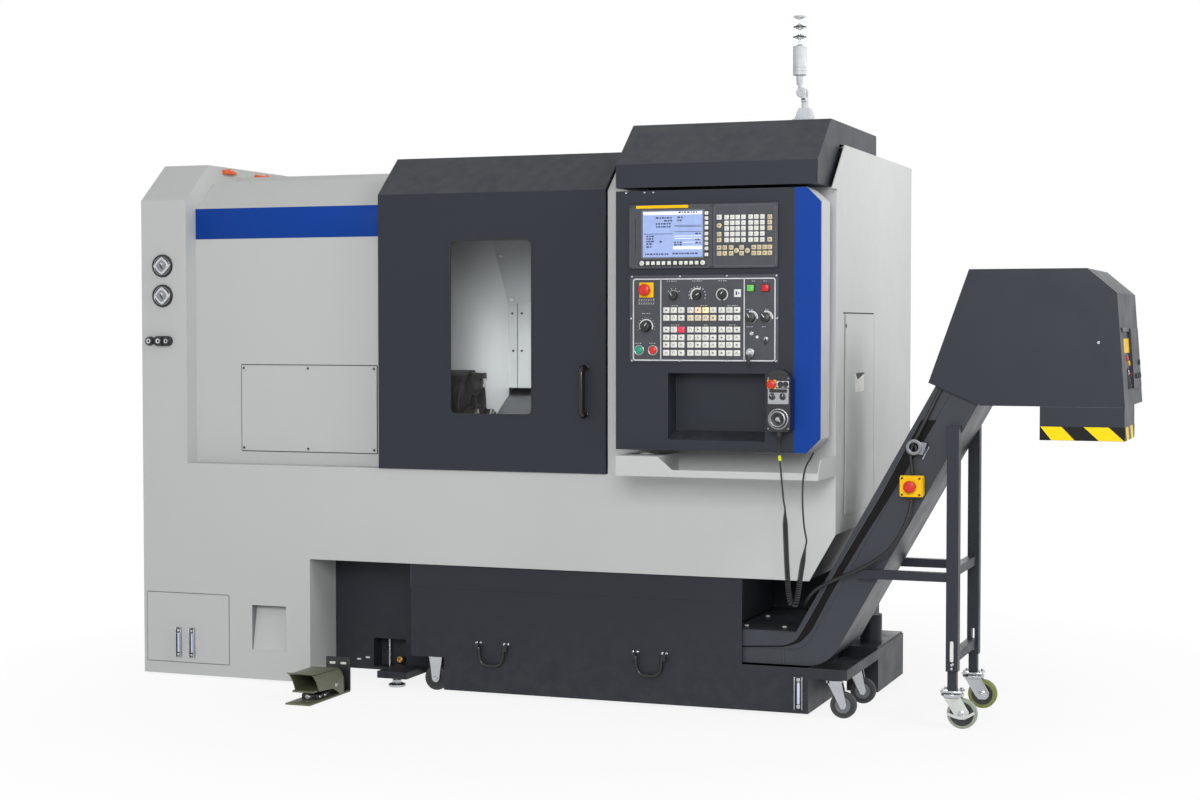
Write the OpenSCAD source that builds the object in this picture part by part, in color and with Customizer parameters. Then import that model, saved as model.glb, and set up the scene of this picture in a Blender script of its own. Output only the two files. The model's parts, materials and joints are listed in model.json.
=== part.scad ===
// CNC turning lathe with a slant bed, a sliding door, a swivelling console,
// a wheeled coolant tank and an inclined chip conveyor.
// X runs from the headstock end to the conveyor, Y from front to back, Z up from the floor.

/* [Machine body] */
// Length of the sheet metal body
body_len = 2720; // [2690:5:2800]
// Depth from front plane to back wall
body_depth = 1225; // [1180:5:1300]
// Sheet metal thickness
sheet_t = 4; // [3:0.5:5]
// Underside of the front beam
beam_low = 470; // [455:1:485]
// Ledge on top of the front beam
ledge_z = 817; // [805:1:830]
// Height where the front leans back
bend_z = 1816; // [1800:1:1840]
// Top of the left column
column_top = 1960; // [1945:1:1980]
// Run of the leaning front, front to back
slope_run = 170; // [150:1:185]
// Width of the left column
column_w = 195; // [170:1:220]
// Width of the lower left block
block_w = 718; // [690:1:728]
// Gap between covers and floor
cover_gap = 8; // [5:1:14]
// Setback of the fixed front panel
panel_set = 72; // [66:1:80]
// Front roof height of the fixed panel
panel_top = 1896; // [1880:1:1905]

/* [Sliding door] */
// Door width
door_w = 885; // [860:1:887]
// How far the door stands out
door_out = 10; // [6:1:16]
// Depth of the door's side walls
door_d = 66; // [50:1:70]
// Window width
window_w = 314; // [260:1:360]
// Window height
window_h = 621; // [520:1:680]
// Handle length
handle_h = 194; // [150:1:240]

/* [Swivelling console] */
// Left edge of the console, from the right end
console_in = 725; // [720:1:735]
// Gap between the door and the console
console_gap = 100; // [90:1:110]
// Width of the dark console body
console_w = 627; // [620:1:634]
// Width of the blue side panel
side_w = 89; // [80:1:92]
// Underside of the console
console_low = 917; // [912:1:925]
// Console height
console_h = 878; // [870:1:880]
// Front of the console
console_y = -180; // [-190:1:-175]
// Console depth
console_d = 120; // [110:1:124]
// Top of the hood over the console
hood_top = 2035; // [2020:1:2060]

/* [Spindle and slides] */
// Spindle axis, front to back
spindle_y = 375; // [368:1:382]
// Spindle axis height
spindle_z = 1045; // [1040:1:1055]
// Chuck radius
chuck_r = 127; // [110:1:135]
// Chuck length
chuck_len = 96; // [86:1:106]
// Bore radius of chuck and spindle
bore_r = 33; // [26:0.5:38]
// Lean of the bed
slant = 30; // [28:1:31]
// Spindle axis above the bed face
axis_h = 297; // [290:1:305]
// Turret radius across its flats
turret_r = 165; // [150:1:175]
// Number of turret stations
turret_sides = 12; // [8:2:12]

/* [Coolant tank] */
// Left end of the tank
tank_x0 = 1126; // [1120:1:1135]
// Tank's reach past the body
tank_past = 38; // [20:1:55]
// Front of the tank
tank_y = 15; // [10:1:16]
// Underside of the tank
tank_low = 12; // [8:1:20]
// Top of the tall front part
tank_top = 398; // [385:1:410]
// Top of the low right part
wing_top = 170; // [160:1:171]

/* [Chip conveyor] */
// Underside of the flat stretch
trough_low = 174; // [172:1:180]
// Height of the flat stretch
trough_h = 111; // [104:1:116]
// Front side of the trough
trough_y = 36; // [34:1:40]
// Width of the trough
trough_w = 348; // [335:1:360]
// Rise of the slope per unit of run
incline = 1.783; // [1.75:0.001:1.81]
// Foot of the slope, from the right end
incline_in = 147; // [140:1:154]
// Level width of the sloping stretch
incline_w = 175; // [165:1:185]
// Width of the head over the chute
head_w = 570; // [540:1:600]
// Top of the head
head_top = 1525; // [1505:1:1545]
// Mouth of the chute
chute_low = 965; // [950:1:980]

/* [Wheels] */
// Radius of the tank wheels
tank_wheel_r = 45; // [42:1:47]
// Radius of the stand wheels
stand_wheel_r = 50; // [46:1:51]
// Width of a wheel
wheel_w = 24; // [20:1:26]

/* [Foot switch] */
// Width of the foot switch
switch_w = 98; // [90:1:110]
// Length of the foot switch
switch_len = 313; // [290:1:330]
// Front edge of the foot switch
switch_y = -390; // [-400:1:-380]

/* [Hidden] */
$fn = 64;

// Colours
light_grey = [0.77, 0.78, 0.76];
slate = [0.26, 0.275, 0.30];
dark_slate = [0.2, 0.21, 0.235];
blue = [0.09, 0.26, 0.6];
steel = [0.66, 0.67, 0.68];
cast = [0.42, 0.43, 0.44];
black = [0.07, 0.07, 0.08];
red = [0.8, 0.1, 0.06];
green = [0.1, 0.5, 0.25];
yellow = [0.95, 0.72, 0.05];
olive = [0.36, 0.38, 0.27];
glass = [0.75, 0.82, 0.85, 0.3];

// Overrun of cuts, shallow seats, running clearance of pins
over = 1;
fit = 0.05;
play = 0.3;

// Body
console_x = body_len - console_in;
door_x = console_x - console_gap - door_w;
body_rear = body_depth - sheet_t;
clip_w = 91;
clip_h = 161;
clip_x = body_len - clip_w;
clip_z = beam_low + clip_h;
hem = 14;
ledge_d = panel_set + sheet_t;
panel_lap = 40;
panel_x1 = door_x + panel_lap;
panel_dip = 31;
panel_bend = bend_z - panel_dip;
panel_back = 26;
panel_run = slope_run - panel_back;
panel_roof_y = 400;
roof_step = 30;
left_roof_z = panel_top + roof_step;
roof_drop = 5;
main_roof_z = column_top - roof_drop;
roof_lap = 12;
main_roof_y = slope_run + roof_lap;
door_gap = 5;
pillar_x = door_x + door_w + door_gap;
pillar_d = 90;
cover_in = 42;
cover_run = 72;
cover_slope = [[cover_in, bend_z - sheet_t], [cover_in + cover_run, main_roof_z]];
back_low = 60;
back_door_t = 12;
back_door_w = 1040;
back_door_h = 1560;
back_door_z = 220;
back_door_shares = [0.09, 0.53];
vent_w = 260;
vent_h = 12;
vent_rows = 9;
vent_pitch = 26;
vent_z = 380;

// Left block details
block_plate = [16, 55, 356, 263];
block_plate_t = 2;
pocket = [472, 116, 144, 171];
pocket_d = 46;

// Access plate
plate_x = 394;
plate_z = 866;
plate_w = 569;
plate_h = 324;
plate_t = 3;
screw_r = 6;
screw_h = 2;
screw_inset = 14;

// Side door on the right cover
side_y = 125;
side_d = 441;
side_z = 687;
side_h = 693;
side_t = 3;
latch_y = 286;
latch_d = 124;
latch_z = 1108;
latch_h = 65;
latch_bar = 18;

// Base
base_x0 = block_w - sheet_t;
base_end = 120;
base_x1 = body_len - base_end;
base_front = 207;
base_set = 75;
base_rear = body_depth - base_set;
base_low = 35;
deck_z = 640;
deck_t = 40;
deck_y = 470;
pit_in = 385;
pit_x = body_len - pit_in;
pit_y = 626;
apron_set = 5;
apron_y = tank_y + apron_set;
apron_lap = 52;
apron_x1 = pit_x + apron_lap;
apron_gap = 4;
apron_low = tank_top + apron_gap;
lug = [975, 40, 120, 25];
base_pocket = [878, 45, 137, 110];
base_pocket_d = 70;
gland_r = 13;
gland_h = 14;
gland_in = 140;
gland_z = 340;
foot_r = 45;
foot_h = 18;
foot_stem_r = 14;
feet = [[lug[0] + lug[2] / 2, lug[1] + foot_r], [base_x0 + 2 * foot_r, base_rear - foot_r],
        [(base_x0 + base_x1) / 2, base_rear - foot_r], [base_x1 - 2 * foot_r, base_rear - foot_r],
        [(base_x0 + base_x1) / 2, pit_y + foot_r], [base_x1 - 2 * foot_r, pit_y + foot_r]];

// Headstock, spindle and chuck
headstock_x = 650;
headstock_len = 444;
headstock_x1 = headstock_x + headstock_len;
headstock_front = 165;
headstock_y0 = spindle_y - headstock_front;
headstock_back = 315;
headstock_y1 = spindle_y + headstock_back;
headstock_h = 245;
headstock_top = spindle_z + headstock_h;
headstock_bevel_w = 90;
nose_r = 110;
nose_len = 20;
spindle_r = 60;
spindle_tail = 10;
spindle_back = headstock_x - spindle_tail;
chuck_gap = 2;
chuck_x = headstock_x1 + nose_len + chuck_gap;
flange_len = 8;
flange_r = 100;
chuck_x0 = chuck_x + flange_len;
chuck_x1 = chuck_x0 + chuck_len;
chuck_edge = 6;
jaw_w = 40;
jaw_in = 54;
jaw_slot_wall = 10;
jaw_out = 116;
jaw_step = 84;
jaw_seat = 12;
jaw_base = 22;
jaw_top = 24;
jaw_angles = [90, 210, 330];
bolt_ring_r = 92;
bolt_r = 8;
bolt_h = 3;

// Bed and slides
bed_y = spindle_y + axis_h * sin(slant);
bed_z = spindle_z - axis_h * cos(slant);
bed_gap = 16;
bed_x0 = headstock_x1 + bed_gap;
bed_end = 140;
bed_x1 = body_len - bed_end;
bed_front = 300;
bed_set = 115;
bed_rear = body_depth - bed_set;
bed_tail = 70;
bed_back = bed_rear - bed_tail;
way_w = 60;
way_h = 30;
way_front_y = -190;
way_rear_y = 250;
slide_gap = 0.5;
carriage_share = 0.36;
carriage_x = bed_x0 + carriage_share * (bed_x1 - bed_x0);
carriage_len = 380;
carriage_h = 80;
carriage_over = 60;
cross_w = 250;
cross_h = 60;
cross_len = 400;
cross_s = 60;
turret_head_x = carriage_x + (carriage_len - cross_w) / 2 + slide_gap;
head_len = 200;
head_s = 170;
head_span = 320;
turret_s = 350;
turret_w = 90;
turret_gap = 2;
turret_hub_r = 70;
turret_hub_h = 16;
station_w = 42;
station_d = 14;
station_in = 30;
station_seat = 22;
turret_shaft_r = 45;
tail_len = 220;
tail_end = 30;
tail_x = bed_x1 - tail_len - tail_end;
tail_w = 190;
tail_head_r = 92;
quill_r = 42;
quill_len = 70;
centre_r = 22;
centre_len = 50;

// Chamber lining
lining_gap = 6;
lining_x0 = headstock_x1 + lining_gap;
lining_end = 130;
lining_x1 = body_len - lining_end;
lining_y = panel_set + 2 * sheet_t;
lining_low = deck_z;
lining_top = panel_top - lining_gap;
lining_hole_r = nose_r + lining_gap;
lining_back = 1000;
lining_knee = [lining_back, 1432];
lining_head = [800, 1725];
lining_foot = 1085;
chute_end = [150, 652];

// Door
door_low = ledge_z + play;
door_x1 = door_x + door_w;
door_drop = 2;
door_top = column_top - door_drop;
door_top_y = slope_run - hem;
door_hem = 18;
window_in = 290;
window_x = door_x + window_in;
window_z = 1023;
window_r = 16;
glass_t = 8;
glass_lap = 14;
handle_in = 86;
handle_x = door_x1 - handle_in;
handle_z = 1010;
handle_w = 22;
handle_t = 18;
handle_out = 50;
handle_foot = 30;
handle_r = 7;

// Console
console_back = console_y + console_d;
console_top = console_low + console_h;
console_x1 = console_x + console_w;
console_x2 = console_x1 + side_w;
side_bevel_w = 48;
pivot_gap_w = 90;
pivot_x = console_x + pivot_gap_w;
pivot_set = 70;
pivot_y = console_y + pivot_set;
pivot_r = 12;
pivot_in = 24;
shelf_in = 187;
shelf_x = console_x + shelf_in;
shelf_w = 340;
shelf_up = 35;
shelf_z = console_low + shelf_up;
shelf_rise = 30;
shelf_h = 227;
shelf_d = 90;
unit_in = 52;
unit_x = console_x + unit_in;
unit_up = 621;
unit_z = console_low + unit_up;
unit_w = 517;
unit_h = 212;
unit_t = 12;
unit_split = 288;
screen_x = 40;
screen_z = 34;
screen_w = 214;
screen_h = 159;
screen_d = 4;
key_w = 14;
key_h = 13;
key_t = 3;
soft_n = 12;
soft_side_n = 9;
pad_col_shares = [0.605, 0.655, 0.692, 0.729, 0.766, 0.816, 0.855, 0.894, 0.943];
pad_row_shares = [0.85, 0.755, 0.66, 0.57, 0.475];
low_col_shares = [0.605, 0.645, 0.685, 0.757, 0.835, 0.872, 0.909, 0.947];
low_row_shares = [0.35, 0.26];
round_key_shares = [[0.72, 0.305], [0.795, 0.305]];
panel_w = 522;
panel_up = 300;
panel_z = console_low + panel_up;
panel_h = 292;
panel_t = 4;
estop_share = [0.115, 0.83];
start_share = [0.067, 0.132];
hold_share = [0.161, 0.132];
feed_share = [0.115, 0.41];
function on_panel(s) = [unit_x + s[0] * panel_w, panel_z + s[1] * panel_h];
estop_at = on_panel(estop_share);
start_at = on_panel(start_share);
hold_at = on_panel(hold_share);
feed_at = on_panel(feed_share);
estop_plate = 50;
estop_plate_t = 3;
estop_r = 20;
estop_stem_r = 12;
estop_h = 30;
estop_cap_h = 12;
estop_travel = 5;
push_r = 13;
push_ring_r = 17;
push_ring_h = 6;
push_h = 10;
push_travel = 4;
feed_r = 19;
feed_base_r = 26;
feed_base_h = 3;
feed_h = 20;
feed_grip = 5;
stem_r = 5;
stem_hole = 12;
dial_r = 12;
dial_h = 14;
dial_shares = [[0.3, 0.76], [0.46, 0.767], [0.626, 0.775]];
selector_r = 14;
selector_shares = [[0.82, 0.507], [0.92, 0.507], [0.82, 0.11]];
lamp_shares = [[0.818, 0.845], [0.916, 0.845]];
lamp_w = 21;
lamp_h = 7;
cap_w = 21;
cap_h = 18;
cap_t = 4;
cap_cols = [3, 4, 3];
cap_col_shares = [0.252, 0.416, 0.626];
cap_row_shares = [0.596, 0.507, 0.372, 0.281, 0.197, 0.104];
cap_pitch = 26.5;

// Console hood and tray
hood_over = 78;
hood_x1 = console_x1 + hood_over;
hood_gap = 11;
hood_low = console_top + hood_gap;
hood_face = 80;
hood_y1 = 686;
hood_cap = [[cover_in + sheet_t, bend_z], [cover_in + cover_run + sheet_t, main_roof_z + sheet_t]];
tray_in = 20;
tray_x0 = console_x + tray_in;
tray_out = 60;
tray_y = console_y - tray_out;
tray_low = ledge_z + hem;
tray_gap = 18;
tray_top = console_low - tray_gap;
tray_block = 149;
tray_slope_w = 53;
tray_lip = 24;
tray_end_w = 40;
collar_r = 26;
collar_h = 6;

// Signal tower
tower_in = 107;
tower_x = hood_x1 - tower_in;
tower_y = 60;
tower_foot_r = 36;
tower_neck_r = 21;
tower_foot_h = 40;
tower_pole_r = 11;
tower_set = 9;
tower_hinge_x = tower_x - tower_set;
tower_post_h = 97;
tower_hinge_z = hood_top + tower_post_h;
tower_ear_r = 15;
tower_ear_t = 6;
tower_eye_t = 12;
tower_pin_r = 5;
tower_lean = 10;
tower_head_x = tower_hinge_x - tower_lean;
tower_neck_h = 59;
tower_body_z = tower_hinge_z + tower_neck_h;
tower_body_h = 94;
tower_body_r = 23;
tier_h = 30;
tier_gap = 4;
tier_r = 22;
tier_n = 3;
tower_cap_h = 6;

// Gauges
gauge_x = 94;
gauge_top = 1567;
gauge_pitch = 114;
gauge_z = [gauge_top, gauge_top - gauge_pitch];
gauge_r = 44;
gauge_d = 30;
gauge_face_r = 38;
gauge_face_d = 5;
adjust_z = 1281;
adjust_plate = [23, 112, 34];
adjust_t = 6;
adjust_shares = [[0.15, 0.38, 0.47], [0.58, 0.48, 0.88], [0.85, 0.41, 0.65]];
level_shares = [0.396, 0.562];
level_z = 74;
level_h = 113;
level_w = 22;
level_d = 14;
level_slot_share = 0.25;
level_tube_share = 0.17;
tank_level_in = 32;
tank_level_z = 27;
tank_level_w = 30;

// Coolant tank
tank_d = 430;
tank_y1 = tank_y + tank_d;
tank_x1 = body_len + tank_past;
tank_step_left = 132;
tank_deep_x0 = tank_x0 + tank_step_left;
tank_step_right = 135;
tank_deep_x1 = tank_x1 - tank_step_right;
tank_wing_low = 134;
tank_bay_y = 500;
tank_left_low = 130;
sump_gap = 42;
sump_x = base_x1 + sump_gap;
sump_y1 = 932;
sump_low = 14;
sump_lid = 6;
pump_r = 40;
pump_h = 110;
pump_at = [60, 130];
caster_pad = [70, 62, 4];
caster_in = 52;
tank_caster_x = tank_x1 - caster_in;
caster_set = 38;
caster_pitch = 297;
tank_caster_y = [tank_y + caster_set, tank_y + caster_set + caster_pitch];
left_wheel_in = 80;
left_wheel_set = 57;
left_wheel = [tank_x0 + left_wheel_in, tank_y + left_wheel_set];
bail_in = 325;
bail_pitch = 601;
bail_x = [tank_x0 + bail_in, tank_x0 + bail_in + bail_pitch];
bail_w = 112;
bail_z = 178;
bail_drop = 84;
bail_r = 5;
bail_out = 14;
bail_lug = 12;
bail_lug_w = 14;

// Casters
swivel_r = 8;
swivel_gap = 1;
fork_t = 3;
fork_side = 2;
axle_r = 6;
fork_ear_r = 13;
fork_crown_r = 26;
crown_h = 10;
trail = 32;
stand_trail = 33;
hub_r = 16;
rim_share = 0.72;

// Conveyor
trough_in = 174;
trough_x0 = tank_x0 + trough_in;
incline_x = body_len - incline_in;
bend_r = 20;
bend_steps = 8;
trough_top = trough_low + trough_h;
trough_y1 = trough_y + trough_w;
chute_h = 110;
head_low = chute_low + chute_h;
trough_up = 175;
trough_end_z = head_low + trough_up;
rail_t = 4;
rail_w = 63;
pit_gap = 10;
cover_x0 = pit_x + pit_gap;
cover_y1 = pit_y - pit_gap;
ring_gap_w = 402;
ring_z = 924;
ring_r = 20;
ring_in = 12;
ring_t = 14;
belt_t = 10;
belt_in = 18;
belt_up = 37;
belt_z = trough_low + belt_up;
belt_x = incline_w / 2;
guide_w = 40;
head_y = 10;
head_y1 = head_y + head_w;
head_gap_w = 458;
head_lean_w = 133;
head_roof_w = 382;
head_bevel_w = 95;
head_flare_w = 28;
head_x0 = incline_x + head_gap_w;
head_x1 = head_x0 + head_lean_w;
head_x2 = head_x1 + head_roof_w;
head_x3 = head_x2 + head_bevel_w;
head_x4 = head_x3 + head_flare_w;
head_bevel_h = 80;
head_knee = head_top - head_bevel_h;
head_sill_h = 74;
head_in_z = head_low + head_sill_h;
head_throat_w = 41;
head_in_x = head_x1 + head_throat_w;
chute_w = 271;
chute_x = head_x4 - chute_w;
chute_d = 300;
chute_y1 = head_y + chute_d;
unit_y = 250;
unit_d = 240;
head_unit_up = 55;
unit_low = head_low + head_unit_up;
head_unit_h = 200;
unit_high = unit_low + head_unit_h;
head_unit_t = 10;
head_lean = head_flare_w / (head_knee - head_low);
head_key_r = 9;
head_key_h = 6;
head_key_shares = [[0.25, 0.2], [0.5, 0.2], [0.75, 0.2], [0.75, 0.42]];
leg_gap_w = 525;
leg_x = incline_x + leg_gap_w;
leg_w = 40;
leg_top = 1008;
leg_low = 190;
leg_out = rail_t;
slot_w = 12;
slot_up = 15;
slot_h = 76;
inner_w = 30;
stand_fork_h = 70;
inner_low = stand_wheel_r + stand_fork_h;
foot_plate_t = 6;
cross_bar = 30;
cross_bar_low = 215;
cross_bar_high = 505;
brace_z = 487;
brace_h = 30;
brace_gap_w = 217;
brace_x = incline_x + brace_gap_w;
pad_len = 50;
box_gap_w = 370;
box_x = incline_x + box_gap_w;
box_z = 769;
box_w = 74;
box_h = 69;
box_d = 52;
box_y = trough_y - rail_t - box_d;
front_leg_y = trough_y - leg_out - leg_w;
rear_leg_y = trough_y1 + leg_out;
stand_top = inner_low - swivel_gap;
stand_x = leg_x + leg_w / 2;
stand_y = [front_leg_y + leg_w / 2, rear_leg_y + leg_w / 2];

// Foot switch
switch_x = 828;
switch_t = 6;
switch_back_h = 120;
switch_slot_r = 4;
switch_slot_len = 16;
switch_slot_in = 24;
cheek_t = 6;
guard_front = 70;
guard_d = 190;
guard_h = 98;
guard_r = 60;
lip_run = 60;
lip_rise = 8;
pedal_t = 6;
pedal_z = 40;
pedal_front = 40;
pedal_tilt = 8;
pedal_pin_r = 5;
pedal_eye_r = 9;
guard_step = 15;

// Hand pendant
pendant_w = 80;
pendant_in = 76;
pendant_x = console_x1 - pendant_in;
pendant_up = 73;
pendant_z = console_low + pendant_up;
pendant_h = 186;
pendant_t = 52;
holder_t = 14;
holder_w = 60;
holder_h = 150;
pendant_y = console_y - holder_t;
pendant_neck = 14;
wheel_r = 30;
wheel_h = 14;
wheel_dial_r = 34;
wheel_gap = 0.5;
crank_r = 6;
crank_h = 14;
crank_at = 18;
pendant_wheel_up = 42;
pendant_wheel_z = pendant_z + pendant_wheel_up;
pendant_key_r = 9;
pendant_key_h = 8;
pendant_key_shares = [[0.25, 0.62], [0.7, 0.62], [0.6, 0.84], [0.82, 0.84]];
pendant_stop_share = [0.22, 0.84];
gland_out_r = 10;
gland_out_h = 16;
gland_side_w = 38;
gland_set = 30;

// Cords: radius, coil radius and the points of each route
cord_r = 4;
coil_r = 10;
cable_r = 6;
cord_sides = 10;
steep_share = 0.9;
cord_down = [[2584, -224, 974], [2590, -250, 930], [2600, -268, 880], [2608, -276, 820],
             [2614, -280, 770], [2620, -282, 742]];
cord_up = [[2690, -282, 622], [2692, -280, 640], [2684, -278, 680], [2678, -276, 740], [2676, -272, 800],
           [2677, -264, 846], [2680, -240, 880], [2684, -205, 900], [2686, -170, 917]];
coil_points = [[2620, -282, 742], [2621, -284, 700], [2624, -286, 640], [2628, -288, 560],
               [2634, -290, 480], [2640, -290, 442], [2650, -290, 424], [2661, -290, 438],
               [2668, -288, 480], [2678, -286, 550], [2690, -282, 622]];
cable_top = [[3072, 24, 1131], [3050, 20, 1085], [3020, 12, 1020], [2985, 10, 950], [2975, 10, 924],
             [2974, 10, 890], [2978, 10, 860], [2980, 10, 838]];
cable_low = [[2978, 10, 769], [2972, 2, 715], [2950, -8, 655], [2908, -13, 590], [2850, -14, 545],
             [2790, -12, 512], [2720, -6, 480], [2660, 2, 448], [2625, 18, 415], [2606, 50, 385],
             [2596, 110, 360], [2588, 220, 342], [2582, 400, 338], [2580, 560, 340], [2580, 612, 340]];

// Origin at the middle of the footprint, on the floor
head_key_z = unit_low + head_key_shares[0][1] * (unit_high - unit_low);
head_tip = head_x3 + (head_knee - head_key_z) * head_lean;
head_angle = atan(head_lean);
x_max = head_tip + (head_unit_t + head_key_h) * cos(head_angle) + head_key_r * sin(head_angle);
y_min = switch_y;
y_max = body_depth + back_door_t;
origin = [x_max / 2, (y_min + y_max) / 2, 0];

// Basic shapes
module slab(x0, x1, y0, y1, z0, z1) {
    translate([x0, y0, z0]) cube([x1 - x0, y1 - y0, z1 - z0]);
}

module plate_xz(points, y0, y1) {
    translate([0, y1, 0]) rotate([90, 0, 0]) linear_extrude(y1 - y0) polygon(points);
}

module plate_yz(points, x0, x1) {
    translate([x0, 0, 0]) rotate([90, 0, 90]) linear_extrude(x1 - x0) polygon(points);
}

module rod_x(y, z, r, x0, x1) {
    translate([x0, y, z]) rotate([0, 90, 0]) cylinder(r = r, h = x1 - x0);
}

module rod_y(x, z, r, y0, y1) {
    translate([x, y1, z]) rotate([90, 0, 0]) cylinder(r = r, h = y1 - y0);
}

module rod_z(x, y, r, z0, z1) {
    translate([x, y, z0]) cylinder(r = r, h = z1 - z0);
}

module round_hole(x, z, w, h, r, y0, y1) {
    translate([x, y1, z]) rotate([90, 0, 0]) linear_extrude(y1 - y0)
        translate([r, r]) offset(r) square([w - 2 * r, h - 2 * r]);
}

module on_bed() {
    translate([0, bed_y, bed_z]) rotate([slant, 0, 0]) children();
}

module placed() {
    translate(-origin) children();
}

// A tube along a list of points
function unit(v) = v / norm(v);
function heading(p, i) = unit(p[min(i + 1, len(p) - 1)] - p[max(i - 1, 0)]);
function side_of(d) = unit(cross(d, abs(d[1]) > steep_share ? [1, 0, 0] : [0, 1, 0]));
function ring(p, i, r, n) = let (d = heading(p, i), a = side_of(d), b = cross(d, a))
    [for (k = [0:n - 1]) p[i] + r * (cos(360 * k / n) * a + sin(360 * k / n) * b)];

module tube(p, r, n) {
    last = len(p) - 1;
    points = [for (i = [0:last]) each ring(p, i, r, n)];
    sides = [for (i = [0:last - 1], k = [0:n - 1])
        [i * n + k, (i + 1) * n + k, (i + 1) * n + (k + 1) % n, i * n + (k + 1) % n]];
    ends = [[for (k = [0:n - 1]) k], [for (k = [n - 1:-1:0]) last * n + k]];
    polyhedron(points, concat(sides, ends));
}

// Base, bed and headstock
module base_casting() {
    color(dark_slate) {
        difference() {
            union() {
                slab(base_x0, tank_x0, base_front, base_rear, base_low, deck_z);
                slab(lug[0], lug[0] + lug[2], lug[1], base_front, base_low, base_low + lug[3]);
                slab(tank_x0, base_x1, pit_y, base_rear, base_low, deck_z);
                slab(tank_x0, pit_x, deck_y, pit_y, deck_z - deck_t, deck_z);
                slab(base_x1, body_len - sheet_t, pit_y, base_rear, deck_z - deck_t, deck_z);
                slab(tank_x0 - sheet_t, apron_x1, apron_y, apron_y + sheet_t, apron_low, deck_z);
                slab(tank_x0 - sheet_t, tank_x0, apron_y, base_front, apron_low, deck_z);
                slab(pit_x - sheet_t, pit_x, apron_y, pit_y, trough_top + apron_gap, deck_z);
                plate_xz([[clip_x - sheet_t, beam_low + sheet_t], [clip_x, beam_low + sheet_t],
                          [body_len - sheet_t, clip_z], [body_len - 2 * sheet_t, clip_z]],
                         apron_y, pit_y + deck_t);
                rod_y(body_len - gland_in, gland_z, gland_r, pit_y - gland_h, pit_y);
            }
            slab(base_pocket[0], base_pocket[0] + base_pocket[2], base_front - over,
                 base_front + base_pocket_d, base_pocket[1], base_pocket[1] + base_pocket[3]);
        }
    }
}

module levelling_feet() {
    color(steel) for (p = feet) {
        rod_z(p[0], p[1], foot_r, 0, foot_h);
        rod_z(p[0], p[1], foot_stem_r, 0, base_low);
    }
}

module slant_bed() {
    function face_z(y) = bed_z + (y - bed_y) * tan(slant);
    color(cast) {
        plate_yz([[bed_front, deck_z], [bed_front, face_z(bed_front)], [bed_back, face_z(bed_back)],
                  [bed_rear, face_z(bed_back)], [bed_rear, deck_z]], bed_x0, bed_x1);
        on_bed() for (s = [way_front_y, way_rear_y])
            slab(bed_x0, bed_x1, s - way_w / 2, s + way_w / 2, 0, way_h);
    }
}

module headstock() {
    color(cast) difference() {
        union() {
            plate_yz([[headstock_y0, deck_z], [headstock_y0, headstock_top - headstock_bevel_w],
                      [headstock_y0 + headstock_bevel_w, headstock_top], [headstock_y1, headstock_top],
                      [headstock_y1, deck_z]], headstock_x, headstock_x1);
            rod_x(spindle_y, spindle_z, nose_r, headstock_x1, headstock_x1 + nose_len);
        }
        rod_x(spindle_y, spindle_z, spindle_r + fit, headstock_x - over, headstock_x1 + nose_len + over);
    }
}

// Sheet metal covers
module front_cover() {
    t = sheet_t;
    dip = t * (column_top - bend_z) / slope_run;
    color(light_grey) difference() {
        union() {
            plate_xz([[0, cover_gap], [block_w, cover_gap], [block_w, beam_low], [clip_x, beam_low],
                      [body_len, clip_z], [body_len, ledge_z], [column_w, ledge_z], [column_w, bend_z],
                      [0, bend_z]], 0, t);
            plate_yz([[0, bend_z], [slope_run, column_top], [body_rear, column_top],
                      [body_rear, column_top - t], [slope_run + t / 2, column_top - t],
                      [t, bend_z - dip / 2]], 0, column_w);
            plate_yz([[0, cover_gap], [0, bend_z], [slope_run, column_top], [body_rear, column_top],
                      [body_rear, cover_gap]], 0, t);
            plate_yz([[0, ledge_z - t], [0, bend_z], [slope_run, column_top], [panel_roof_y, column_top],
                      [panel_roof_y, ledge_z - t]], column_w - t, column_w);
            slab(column_w - t, column_w, panel_roof_y, body_rear, left_roof_z - t, column_top);
            slab(column_w, body_len - t, 0, ledge_d, ledge_z - t, ledge_z);
            slab(block_w - t, clip_x, 0, hem, beam_low, beam_low + t);
            slab(block_w - t, block_w, 0, base_front, cover_gap, beam_low);
            slab(block_plate[0], block_plate[0] + block_plate[2], -block_plate_t, 0,
                 block_plate[1], block_plate[1] + block_plate[3]);
            slab(pocket[0] - t, pocket[0] + pocket[2] + t, 0, pocket_d,
                 pocket[1] - t, pocket[1] + pocket[3] + t);
        }
        plate_yz([[-over, pocket[1]], [pocket_d - t, pocket[1] + pocket_d],
                  [pocket_d - t, pocket[1] + pocket[3]], [-over, pocket[1] + pocket[3]]],
                 pocket[0], pocket[0] + pocket[2]);
    }
}

module fixed_front_panel() {
    t = sheet_t;
    y = panel_set;
    color(light_grey) plate_yz([[y, ledge_z], [y, panel_bend], [y + panel_run, panel_top],
        [panel_roof_y, panel_top], [panel_roof_y, panel_top - t], [y + panel_run + t / 2, panel_top - t],
        [y + t, panel_bend - t / 2], [y + t, ledge_z]], column_w, panel_x1);
}

module access_plate() {
    y = panel_set - plate_t;
    color(light_grey) {
        slab(plate_x, plate_x + plate_w, y, panel_set, plate_z, plate_z + plate_h);
        for (x = [plate_x + screw_inset, plate_x + plate_w / 2, plate_x + plate_w - screw_inset])
            for (z = [plate_z + screw_inset, plate_z + plate_h - screw_inset])
                rod_y(x, z, screw_r, y - screw_h, y);
    }
}

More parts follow.
